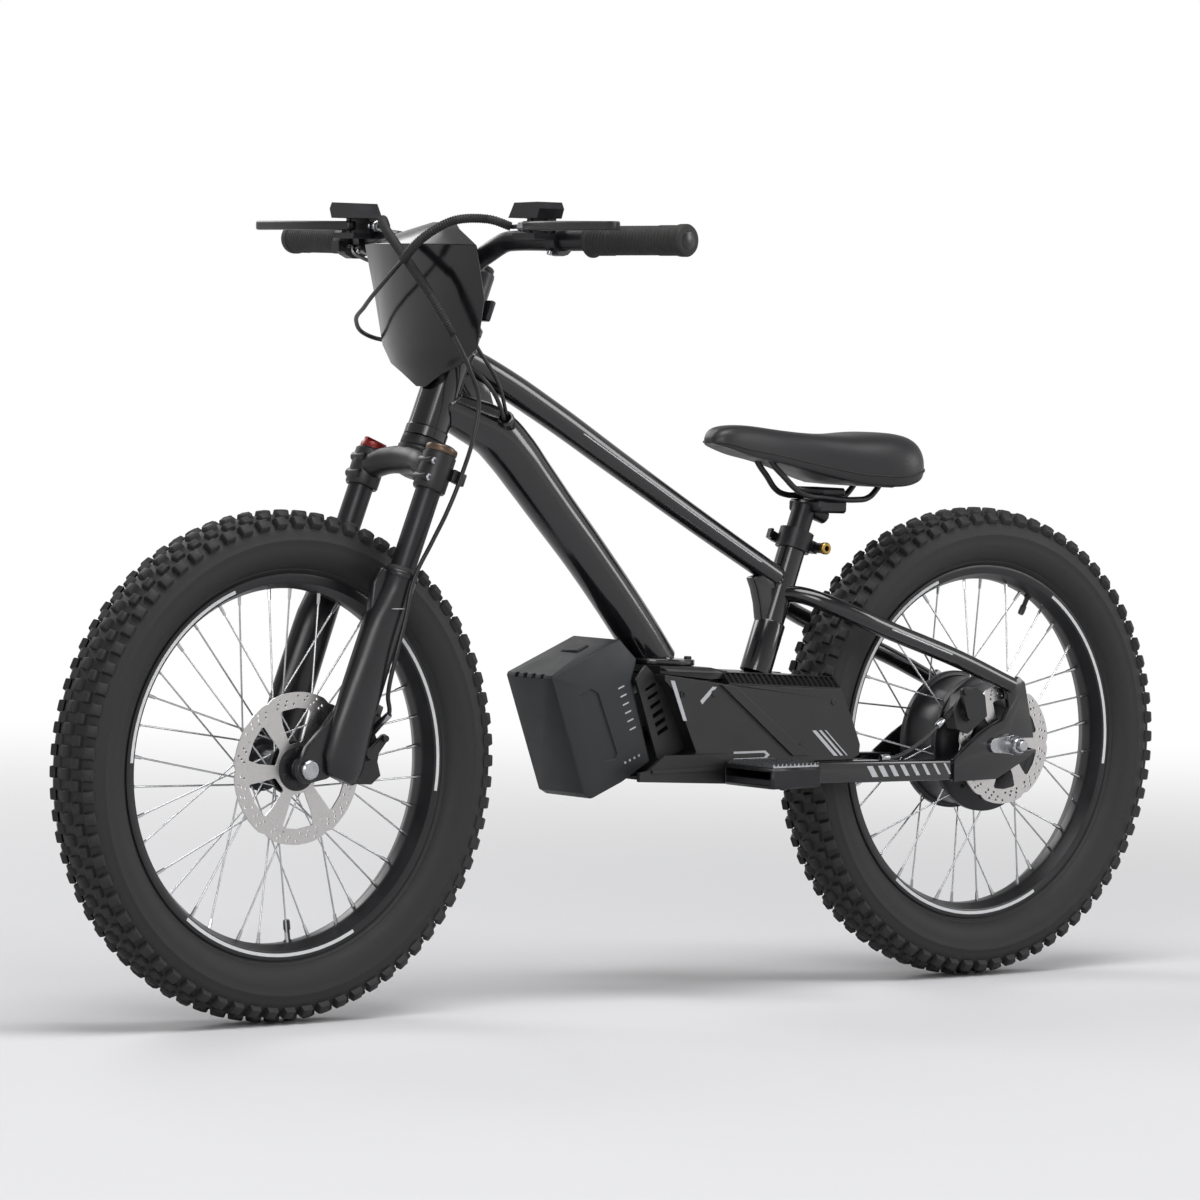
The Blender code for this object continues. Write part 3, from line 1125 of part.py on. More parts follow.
def make_number_plate(holder):
    # A bowed shield whose top edge leans back over the bar. Rows are lofted and given a wall.
    data = bmesh.new()
    across = 8
    rows = []
    base_x = bar_centre().x
    for height, half, middle, edge in PLATE_ROWS:
        row = []
        for index in range(across + 1):
            t = 2.0 * index / across - 1.0
            x = base_x + (edge + (middle - edge) * (1.0 - t * t)) * MM
            row.append(data.verts.new((x, t * half * MM, TYRE_RADIUS + height * MM)))
        rows.append(row)
    for low, high in zip(rows, rows[1:]):
        for index in range(across):
            data.faces.new((low[index], low[index + 1], high[index + 1], high[index]))
    item = from_bmesh(data, smooth=True)
    wall = item.modifiers.new("wall", "SOLIDIFY")
    wall.thickness = 2.5 * MM
    wall.offset = 1.0
    front = BAR_RADIUS + 6.0 * MM + GAP
    depth = 31.5 * MM
    spacer = block((depth, 26.0 * MM, 12.0 * MM),
                   frame_matrix(bar_centre() + STEER_FRONT * (front + depth / 2), STEER_FRONT, -STEER_DOWN))
    return part(combine(item, [spacer]), "number_plate", "plastic", holder)


# Seat

def make_seat_clamp():
    low = SEAT_TUBE_LENGTH - 21.0 * MM
    high = SEAT_TUBE_LENGTH + 2.0 * MM
    ring = rod(seat(low), seat(high), SEAT_TUBE_RADIUS + 4.5 * MM, sides=18)
    lug = block((14.0 * MM, 22.0 * MM, 13.0 * MM), axis_matrix(seat((low + high) / 2, 22.0 * MM), SEAT_UP))
    barrel = rod(seat((low + high) / 2, 25.0 * MM, -12.0 * MM), seat((low + high) / 2, 25.0 * MM, 24.0 * MM), 6.0 * MM, sides=10)
    bore = rod(seat(low - 9.0 * MM), seat(SEAT_TUBE_LENGTH), SEAT_TUBE_RADIUS + GAP, sides=18)
    post = rod(seat(low), seat(high + 9.0 * MM), SEAT_POST_RADIUS + GAP * 2, sides=18)
    slit = block((30.0 * MM, 2.0 * MM, 40.0 * MM), axis_matrix(seat((low + high) / 2, 27.0 * MM), SEAT_UP))
    item = cut(combine(ring, [lug]), [bore, post, slit])
    combine(item, [barrel])
    return part(item, "seat_clamp", "anodised")


def qr_pivot():
    low = SEAT_TUBE_LENGTH - 21.0 * MM
    high = SEAT_TUBE_LENGTH + 2.0 * MM
    return seat((low + high) / 2, 25.0 * MM, -20.0 * MM)


def make_qr_lever(holder):
    # The quick-release lever lies forward along the right of the tube and swings out to open.
    place = qr_pivot()
    matrix = frame_matrix(place, Vector((math.cos(SEAT_LEAN), 0.0, math.sin(SEAT_LEAN))), SEAT_UP)
    loop = arc((0.0, 0.0), 7.6 * MM, 100.0, 250.0, 6)
    loop += [(14.0 * MM, -9.0 * MM), (34.0 * MM, -10.0 * MM), (48.0 * MM, -4.0 * MM), (51.0 * MM, 6.0 * MM),
             (47.0 * MM, 6.0 * MM), (43.0 * MM, -1.0 * MM), (30.0 * MM, -4.5 * MM), (12.0 * MM, -3.5 * MM),
             (7.0 * MM, 2.0 * MM)]
    return part(outline([loop], 11.0 * MM, matrix), "seat_clamp_lever", "anodised", holder)


def make_seat_post(holder):
    low = SEAT_POST_TOP - SEAT_POST_LENGTH
    post = rod(seat(low), seat(SEAT_POST_TOP), SEAT_POST_RADIUS, sides=20)
    return part(post, "seat_post", "satin_black", holder)


def saddle_point(x, z, side=0.0):
    # Saddle places in millimetres from the top of the seat post.
    return seat(SEAT_POST_TOP) + Vector((x * MM, side, z * MM))


RAIL_LINE = [
    # x and z in millimetres from the post's top, and the share of the rails' full spread
    (67.0, 55.0, 0.5),
    (48.0, 36.0, 0.68),
    (26.0, 17.0, 0.9),
    (10.0, 12.0, 1.0),
    (-5.0, 11.0, 1.0),
    (-60.0, 7.5, 1.0),
    (-78.0, 10.0, 1.0),
    (-97.0, 28.0, 1.0),
]


def rail_points(hand):
    return [saddle_point(x, z, hand * RAIL_SPREAD * spread) for x, z, spread in RAIL_LINE]


def rail_route():
    # From the rear end of the left rail, round the nose, to the rear end of the right one.
    nose = [saddle_point(72.0, 57.0, 6.0 * MM), saddle_point(72.0, 57.0, -6.0 * MM)]
    return list(reversed(rail_points(LEFT))) + nose + rail_points(RIGHT)


def make_saddle_clamp(holder):
    # A cradle on the post's head with a cap that pinches the two rails.
    body = block((44.0 * MM, 56.0 * MM, 15.0 * MM), frame_matrix(saddle_point(-20.0, -0.5), Vector((1.0, 0.0, 0.04)), UP), 3.0 * MM)
    neck = rod(saddle_point(-2.0, 0.5), saddle_point(-30.0, -14.0), 13.0 * MM, 8.0 * MM, 12)
    cap = block((34.0 * MM, 56.0 * MM, 9.0 * MM), frame_matrix(saddle_point(-22.0, 17.0), Vector((1.0, 0.0, 0.04)), UP), 2.5 * MM)
    core = block((26.0 * MM, 30.0 * MM, 24.0 * MM), Matrix.Translation(saddle_point(-22.0, 9.0)))
    rails = [tube(rail_points(hand)[2:7], RAIL_RADIUS + GAP) for hand in (LEFT, RIGHT)]
    post = rod(seat(SEAT_POST_TOP - 60.0 * MM), seat(SEAT_POST_TOP + GAP), SEAT_POST_RADIUS + GAP, sides=20)
    return part(cut(combine(body, [cap, core, neck]), rails + [post]), "saddle_clamp", "satin_black", holder)


def make_saddle_rails(holder):
    return part(tube(rail_route(), RAIL_RADIUS, resolution=1), "saddle_rails", "satin_black", holder)


SADDLE_STATIONS = [
    # x from the post's top, half width, top and lower edge heights, all in millimetres
    (147.0, 9.0, 78.0, 72.0),
    (136.0, 20.0, 90.0, 68.0),
    (105.0, 23.5, 93.0, 58.0),
    (60.0, 29.0, 88.5, 50.0),
    (10.0, 42.0, 84.0, 38.0),
    (-40.0, 61.0, 83.0, 26.0),
    (-85.0, 76.0, 86.0, 23.0),
    (-115.0, 73.0, 84.5, 29.0),
    (-134.0, 54.0, 76.0, 37.0),
    (-141.0, 26.0, 66.0, 46.0),
]


def loft_sections(sections):
    # Closed skin over sections of equal point counts, with the two end sections capped.
    data = bmesh.new()
    rings = [[data.verts.new(place) for place in section] for section in sections]
    for near, far in zip(rings, rings[1:]):
        count = len(near)
        for index in range(count):
            following = (index + 1) % count
            data.faces.new((near[index], near[following], far[following], far[index]))
    data.faces.new(list(reversed(rings[0])))
    data.faces.new(rings[-1])
    bmesh.ops.recalc_face_normals(data, faces=data.faces)
    return data


def saddle_section(station, grow=1.0):
    x, half, top, edge = station
    scale = SADDLE_WIDTH / (152.0 * MM)
    height = top - edge
    half = half * scale * grow
    side = [(0.45, 1.0), (0.8, 0.88), (0.98, 0.55), (1.0, 0.2), (0.9, 0.0)]
    right = [saddle_point(x, edge + height * up, -half * out * MM) for out, up in side]
    left = [saddle_point(x, edge + height * up, half * out * MM) for out, up in reversed(side)]
    return [saddle_point(x, top + 1.0, 0.0)] + right + [saddle_point(x, edge + 5.0, 0.0)] + left


def saddle_shell(grow=0.0):
    # The stiff shell under the padding, from ring to ring along its length.
    sections = []
    for x, half, top, edge in SADDLE_STATIONS[1:-1]:
        out = half * 0.8
        under = edge + 2.6
        middle = edge + 3.4
        ring = [(out + grow, under + grow), (0.0, middle + grow), (-out - grow, under + grow),
                (-out * 0.96 - grow, under - 3.0 - grow), (0.0, middle - 4.0 - grow), (out * 0.96 + grow, under - 3.0 - grow)]
        sections.append([saddle_point(x * (0.97 + grow / 100.0), z, y * MM) for y, z in ring])
    return from_bmesh(loft_sections(sections))


def make_cushion(holder):
    # Crowned padding whose sides draw in under the rider, from a coarse cage.
    data = loft_sections([saddle_section(station) for station in SADDLE_STATIONS])
    item = from_bmesh(data, smooth=True)
    soft = item.modifiers.new("padding", "SUBSURF")
    soft.levels = 1
    soft.render_levels = 1
    cut(item, [saddle_shell(0.4), tube(rail_route(), RAIL_RADIUS + GAP, resolution=1)])
    return part(item, "saddle_cushion", "vinyl", holder)


def make_saddle_base(holder):
    # It takes both ends of the rails.
    rails = tube(rail_route(), RAIL_RADIUS + GAP, resolution=1)
    return part(cut(saddle_shell(), [rails]), "saddle_base", "plastic", holder)


# Case, cradle, footrests

def make_case():
    inner = CASE_HALF_WIDTH - COVER_WALL
    under = LID_DROP / MM + 1.6
    shelf = lid_height(FIN_FRONT) - under
    body = side_outline([(500.0, 89.5), (444.0, 84.0), (429.0, 83.0), (428.0, shelf), (290.0, lid_height(290.0) - under),
                         (290.0, -32.0), (470.0, -24.0), (467.0, 9.0)],
                        GAP - inner, inner - GAP)
    part(body, "case_body", "satin_black")
    shape = [(522.0, 92.5), (446.0, 82.0), (428.0, shelf), (FIN_BACK, lid_height(FIN_BACK) - under), (240.0, 34.0),
             (228.0, 6.0), (229.0, -6.0), (240.0, -11.0), (297.2, -11.0), (300.0, -31.0), (492.0, -22.5), (474.0, 4.0),
             (508.0, 74.0), (522.0, 86.0)]
    cover = side_outline(shape, inner, CASE_HALF_WIDTH)
    band = side_outline([(442.0, 80.0), (420.0, 78.0), (308.0, -4.0), (332.0, -4.0)], CASE_HALF_WIDTH - 4.0 * MM,
                        CASE_HALF_WIDTH + 3.5 * MM)
    screws = [rod(rear(x, z, CASE_HALF_WIDTH - 4.0 * MM), rear(x, z, CASE_HALF_WIDTH + 1.5 * MM), 4.0 * MM, sides=8)
              for x, z in ((450.0, 70.0), (318.0, 4.0), (270.0, 56.0))]
    left = combine(cover, [band] + screws)
    right = mirrored(left)
    part(left, "case_cover_left", "frame_black")
    part(right, "case_cover_right", "frame_black")


def lid_height(x):
    # Height of the lid's top over the axles along the finned stretch.
    return 93.0 + (x - 427.0) * 0.054


def many_blocks(size, matrices):
    # Several equal boxes in one cutter.
    data = bmesh.new()
    for matrix in matrices:
        made = bmesh.ops.create_cube(data, size=1.0)
        bmesh.ops.transform(data, matrix=matrix @ Matrix.Diagonal((*size, 1.0)), verts=made["verts"])
    return from_bmesh(data)


def make_lid():
    # The top plate, with a bank of cooling fins sloping down to each cover.
    fin_front, fin_back = FIN_FRONT, FIN_BACK
    drop = LID_DROP
    outer = CASE_HALF_WIDTH - GAP
    under = 1.3 * MM
    nose = side_outline(LID_NOSE + [(421.0, 86.0), (444.0, 85.0), (519.0, 93.2)],
                        -LID_HALF_WIDTH - 1.0 * MM, LID_HALF_WIDTH + 1.0 * MM)
    front = Vector((rear(fin_front, 0.0).x, 0.0, rear(0.0, lid_height(fin_front)).z))
    back = Vector((rear(fin_back, 0.0).x, 0.0, rear(0.0, lid_height(fin_back)).z))
    run = front - back
    half = [(LID_HALF_WIDTH, 0.0), (outer, -drop), (outer, -drop - under)]
    loop = half + [(-y, z) for y, z in reversed(half)]
    bank_matrix = frame_matrix((front + back) / 2, SIDEWAYS, run)
    bank = outline([loop], run.length, bank_matrix)
    shoulder = [(LID_HALF_WIDTH - 2.0 * MM, 3.0 * MM), (outer, -1.0 * MM), (LID_HALF_WIDTH - 2.0 * MM, -1.5 * MM)]
    pieces = [bank]
    lean = Vector((1.0, 0.0, 0.05))
    for hand in (LEFT, RIGHT):
        matrix = frame_matrix(Vector((rear(477.0, 0.0).x, 0.0, rear(0.0, 95.5).z)), SIDEWAYS, lean)
        pieces.append(outline([[(hand * y, z) for y, z in shoulder]], 80.0 * MM, matrix))
    pitch = (run.length - FIN_WALL) / FIN_COUNT
    slot = pitch - FIN_WALL
    matrices = []
    for hand in (LEFT, RIGHT):
        slope = Matrix.Translation((hand * (LID_HALF_WIDTH + outer) / 2, -drop / 2, 0.0))
        slope @= Matrix.Rotation(-hand * math.atan2(drop, outer - LID_HALF_WIDTH), 4, "Z")
        for index in range(FIN_COUNT):
            along = (index + 0.5) * pitch - (run.length - FIN_WALL) / 2
            matrices.append(bank_matrix @ Matrix.Translation((0.0, 0.0, along)) @ slope @ Matrix.Translation((0.0, 3.0 * MM, 0.0)))
    slots = many_blocks((15.5 * MM, 10.0 * MM, slot), matrices)
    tyre_room = world_block((2 * (REAR_HUB.x + TYRE_RADIUS + 12.0 * MM - back.x), 2 * CASING_HALF_WIDTH + 12.0 * MM, 60.0 * MM), back)
    return part(cut(combine(nose, pieces), [slots, tyre_room]), "case_lid", "anodised")


def cradle_floor(x):
    # Height of the cradle's underside over the axles.
    return -26.0 + (x - 556.0) * 0.0456


def make_cradle():
    # A channel under the case, with lips up both sides, that carries the footrests.
    front, back = 560.0, CRADLE_BACK
    lip_inner = CASE_HALF_WIDTH + GAP
    lip_outer = lip_inner + CRADLE_LIP
    wall = CRADLE_WALL / MM
    floor_front = front - 18.0
    floor = side_outline([(floor_front, cradle_floor(floor_front)), (floor_front, cradle_floor(floor_front) + wall),
                          (back, cradle_floor(back) + wall), (back, cradle_floor(back))], -lip_inner - 2.0 * MM,
                         lip_inner + 2.0 * MM)
    lip_end = back - 1.5
    lip = [(front, cradle_floor(front) - 1.0), (front, cradle_floor(front) + 9.0), (546.0, cradle_floor(546.0) + 12.0),
           (524.0, 2.0), (430.0, 1.0), (420.0, -10.0), (lip_end, -12.0), (lip_end, cradle_floor(lip_end) - 1.0)]
    lips = [side_outline(lip, hand * (lip_inner), hand * lip_outer) for hand in (LEFT, RIGHT)]
    ledge = [(543.0, -14.0), (440.0, -13.0), (440.0, -17.0), (543.0, -18.0)]
    ledges = [side_outline(ledge, hand * (lip_outer - 2.0 * MM), hand * (lip_outer + 2.0 * MM)) for hand in (LEFT, RIGHT)]
    return part(combine(floor, lips + ledges), "cradle", "frame_black")


def make_footrest(name, tread_name, hand):
    # A box bracket, open towards the front, with a separate serrated tread on its top.
    inner = CASE_HALF_WIDTH + 2 * GAP + CRADLE_LIP
    middle = inner + FOOTREST_REACH / 2
    centre = rear(401.5, -21.2, hand * middle)
    wall = FOOTREST_WALL
    shell = world_block((FOOTREST_LENGTH, FOOTREST_REACH, FOOTREST_HEIGHT), centre, 2.5 * MM)
    pocket = world_block((FOOTREST_LENGTH, FOOTREST_REACH - 2 * wall, FOOTREST_HEIGHT - 2 * wall),
                         centre + Vector((wall + 3.0 * MM, 0.0, 0.0)))
    mouth = world_block((16.0 * MM, FOOTREST_REACH - 2 * wall, 9.0 * MM),
                        centre + Vector((FOOTREST_LENGTH / 2, 0.0, FOOTREST_HEIGHT / 2 - wall - 4.5 * MM)))
    lip = world_block((5.0 * MM, FOOTREST_REACH - 6.0 * MM, 13.0 * MM),
                      centre + Vector((FOOTREST_LENGTH / 2 - 3.5 * MM, 0.0, -FOOTREST_HEIGHT / 2 + 8.0 * MM)))
    item = combine(cut(shell, [pocket]), [lip])
    cut(item, [mouth])
    part(item, name, "frame_black")
    top = centre + UP * (FOOTREST_HEIGHT / 2 + GAP)
    base_height = 2.0 * MM
    tread = world_block((FOOTREST_LENGTH - 6.0 * MM, FOOTREST_REACH - 6.0 * MM, base_height), top + UP * base_height / 2)
    pitch = (FOOTREST_LENGTH - 12.0 * MM) / (TREAD_RIDGES - 1)
    ridges = []
    for index in range(TREAD_RIDGES):
        x = -pitch * (TREAD_RIDGES - 1) / 2 + pitch * index
        loop = [(x - 1.8 * MM, 1.0 * MM), (x, 5.0 * MM), (x + 1.8 * MM, 1.0 * MM)]
        matrix = frame_matrix(top, Vector((1.0, 0.0, 0.0)), -SIDEWAYS)
        ridges.append(outline([loop], FOOTREST_REACH - 10.0 * MM, matrix))
    part(combine(tread, ridges), tread_name, "plastic")


# Battery and dock

def battery_frame():
    # Local X back along the pack's depth, local Y down its front face, from its upper front edge.
    tilt = math.radians(BATTERY_TILT)
    back = Vector((-math.cos(tilt), 0.0, math.sin(tilt)))
    down = Vector((-math.sin(tilt), 0.0, -math.cos(tilt)))
    return rear(666.6, 92.0), back, down


def battery_matrix(side=0.0):
    origin, back, down = battery_frame()
    return frame_matrix(origin + SIDEWAYS * side, back, back.cross(down))


def battery_point(depth, down_by, side=0.0):
    origin, back, down = battery_frame()
    return origin + back * depth * MM + down * down_by * MM + SIDEWAYS * side


BATTERY_OUTLINE = [(3.0, 0.0), (105.0, -3.0), (121.0, 28.0), (105.5, 48.0), (101.5, 143.0), (56.0, 150.0), (8.0, 151.0),
                   (0.0, 142.0), (0.0, 3.0)]


def make_battery(holder):
    loop = [(x * MM, y * MM) for x, y in BATTERY_OUTLINE]
    case = outline([loop], 2 * BATTERY_HALF_WIDTH, battery_matrix())
    rounding = case.modifiers.new("edges", "BEVEL")
    rounding.width = 4.0 * MM
    rounding.segments = 2
    rounding.limit_method = "ANGLE"
    rounding.angle_limit = math.radians(60.0)
    cutters = []
    for hand in (LEFT, RIGHT):
        panel = [(30.5, 36.0), (48.0, 34.5), (56.0, 43.0), (59.0, 118.0), (54.0, 122.0), (38.0, 118.0)]
        scaled = [(x * MM, y * MM) for x, y in panel]
        cutters.append(outline([scaled], 4.0 * MM, battery_matrix(hand * BATTERY_HALF_WIDTH)))
    for index in range(4):
        side = (index - 1.5) * 15.0 * MM
        notch = block((9.0 * MM, 6.0 * MM, 10.0 * MM), battery_matrix(side) @ Matrix.Rotation(math.pi / 2, 4, "X"))
        cutters.append(notch)
    cutters.append(button_block(BUTTON_TRAVEL, GAP, 0.0))
    return part(cut(case, cutters), "battery_pack", "plastic", holder)


def button_block(below, around, bevel):
    # The release button's block, lengthened below and grown around for its well.
    height = BUTTON_HEIGHT + below + 2 * around
    middle = height / 2 - around - BUTTON_PROUD
    size = (BUTTON_LENGTH + 2 * around, height, BUTTON_WIDTH + 2 * around)
    return block(size, battery_matrix() @ Matrix.Translation((BUTTON_PLACE, middle, 0.0)), bevel)


def make_battery_button(holder):
    return part(button_block(0.0, 0.0, 1.0 * MM), "battery_release_button", "plastic", holder)


def make_dock():
    # The slotted side cheeks and the back wall with the contact block that the pack is pushed onto.
    inner = BATTERY_HALF_WIDTH + 2 * GAP
    outer = inner + DOCK_WALL
    line = [(108.0, 48.0), (107.0, 143.0), (120.4, 148.8), (151.5, 146.8), (143.5, 67.0), (127.0, 37.5)]
    cheek = [(x * MM, y * MM) for x, y in line]
    plates = []
    for hand in (LEFT, RIGHT):
        holes = []
        for index in range(DOCK_SLOTS):
            y = (62.0 + index * 10.5) * MM
            holes.append([(117.0 * MM, y), (133.0 * MM, y - 2.0 * MM), (133.0 * MM, y + 3.0 * MM), (117.0 * MM, y + 5.0 * MM)])
        plates.append(outline([cheek] + holes, DOCK_WALL, battery_matrix(hand * (inner + outer) / 2)))
    back = [(138.5, 54.0), (138.5, 126.0), (143.0, 126.0), (143.0, 54.0)]
    wall = outline([[(x * MM, y * MM) for x, y in back]], 2 * outer - 2.0 * MM, battery_matrix())
    contact = [(105.1, 70.0), (103.4, 110.0), (140.0, 110.0), (140.0, 70.0)]
    plug = outline([[(x * MM, y * MM) for x, y in contact]], 44.0 * MM, battery_matrix())
    return part(combine(wall, plates + [plug]), "battery_dock", "plastic")


# Rear brake and axle

def make_rear_axle():
    radius = REAR_AXLE_DIAMETER / 2
    end = 98.0 * MM
    profile = [(0.0, end), (radius - 1.5 * MM, end), (radius, end - 2.0 * MM), (radius, 2.0 * MM - end),
               (radius - 1.5 * MM, -end), (0.0, -end)]
    part(turned(profile, wheel_matrix(REAR_HUB), 16, closed=False), "rear_axle", "steel")
    inner = DROPOUT_SIDE + DROPOUT_WALL + GAP
    for hand, label in ((LEFT, "left"), (RIGHT, "right")):
        loop = arc((0.0, 0.0), 12.0, 60.0, 300.0, 8) + arc((26.0, 0.0), 9.0, -70.0, 70.0, 6)
        hole = arc((0.0, 0.0), radius / MM + 0.5, 0.0, 330.0, 12)
        matrix = side_matrix(REAR_HUB, hand * (inner + 2.0 * MM))
        plate = outline([[(x * MM, z * MM) for x, z in points] for points in (loop, hole)], 4.0 * MM, matrix)
        bore = radius + 0.5 * MM
        low = inner + 3.0 * MM
        high = inner + 18.0 * MM
        profile = [(bore, high), (9.0 * MM, high), (11.0 * MM, high - 3.0 * MM), (11.0 * MM, low), (bore, low)]
        if hand == RIGHT:
            profile = [(r, -y) for r, y in reversed(profile)]
        nut = turned(profile, wheel_matrix(REAR_HUB), 12)
        part(combine(plate, [nut]), "axle_nut_" + label, "satin_black")


def make_rear_caliper():
    # Bolted inside the left dropout, over the rotor's front upper edge.
    body = side_outline([(32.0, 34.0), (46.0, 24.0), (62.0, 14.0), (80.0, 20.0), (86.0, 40.0), (74.0, 60.0), (50.0, 68.0),
                         (36.0, 58.0)], REAR_ROTOR_SIDE - 11.0 * MM, REAR_ROTOR_SIDE + 6.0 * MM)
    boss = rod(rear(64.0, 38.0, REAR_ROTOR_SIDE), rear(64.0, 38.0, REAR_ROTOR_SIDE + 10.0 * MM), 11.0 * MM, 9.0 * MM, 12)
    stop = rod(rear(92.0, 34.0, REAR_ROTOR_SIDE), rear(80.0, 42.0, REAR_ROTOR_SIDE), 4.0 * MM, 5.0 * MM, 8)
    disc = rod(REAR_HUB + SIDEWAYS * (REAR_ROTOR_SIDE - 1.8 * MM), REAR_HUB + SIDEWAYS * (REAR_ROTOR_SIDE + 1.8 * MM),
               REAR_ROTOR_RADIUS + 2.0 * MM, sides=36)
    return part(cut(combine(body, [boss, stop]), [disc]), "rear_caliper", "satin_black")


# Cables

def bike_points(places):
    # Cable places in millimetres: forward of the rear axle, to the left, and over the axles.
    return [REAR_HUB + Vector((x * MM, y * MM, z * MM)) for x, y, z in places]


def make_cables(steering):
    starts = {hand: [lever_outlet(hand) - bar_direction(hand) * reach for reach in (2 * GAP, 6.0 * MM, 13.0 * MM)]
              for hand in (LEFT, RIGHT)}
    front = list(starts[RIGHT])
    front += bike_points([(812.0, -92.0, 594.0), (840.0, -54.0, 588.0), (862.0, -10.0, 574.0), (869.0, 30.0, 548.0),
                          (866.0, 66.0, 514.0), (846.0, 86.0, 468.0), (824.0, 86.0, 432.0), (806.0, 80.0, 400.0),
                          (810.0, 80.0, 366.0), (830.0, 84.4, 318.0), (850.0, 84.4, 276.0), (868.0, 84.4, 246.0),
                          (893.0, 84.5, 203.0), (903.0, 84.0, 160.0), (914.0, 82.0, 117.0), (917.0, 75.0, 80.0)])
    front += [steer(309.0 * MM, -22.5 * MM, 66.0 * MM), steer(316.5 * MM, -23.0 * MM, 57.6 * MM)]
    part(cord(front, CABLE_RADIUS, 2, boot=8), "front_brake_cable", "cable", steering)
    rear_run = list(starts[LEFT])
    rear_run += bike_points([(814.0, 98.0, 595.0), (848.0, 82.0, 592.0), (874.0, 62.0, 572.0), (882.0, 38.0, 548.0),
                             (880.0, 2.0, 524.0), (866.0, -50.0, 498.0), (846.0, -92.0, 480.0), (820.0, -106.0, 466.0),
                             (796.0, -90.0, 460.0), (793.0, -50.0, 462.0), (803.0, -10.0, 464.0), (802.0, 26.0, 452.0),
                             (784.0, 44.0, 430.0), (762.0, 46.0, 410.0)])
    mouth, port_line = cable_port()
    across = port_line.cross(SIDEWAYS).normalized() * (CABLE_RADIUS + 0.5 * MM)
    inside = mouth - port_line * (PORT_DEPTH - 1.0 * MM)
    rear_run += [mouth + port_line * 9.0 * MM - across, inside - across]
    part(cord(rear_run, CABLE_RADIUS, 2, boot=5), "rear_brake_cable", "cable", steering)
    wire = [throttle_outlet() + SIDEWAYS * (OUTLET_HALF + reach) for reach in (2 * GAP, 6.0 * MM, 12.0 * MM)]
    wire += bike_points([(806.0, -150.0, 556.0), (808.0, -84.0, 538.0), (810.0, -10.0, 508.0), (800.0, 40.0, 480.0),
                         (780.0, 52.0, 446.0), (758.0, 50.0, 420.0)])
    wire += [mouth + port_line * 9.0 * MM + across, inside + across]
    part(cord(wire, WIRE_RADIUS, 2), "throttle_wire", "cable", steering)
    low_run = bike_points([(196.0, 66.0, -10.2), (174.0, 66.5, -9.9), (132.0, 66.0, 8.0), (97.0, 61.0, 30.0)])
    part(cord(low_run, CABLE_RADIUS, 2), "rear_brake_cable_end", "cable")


# Assembly

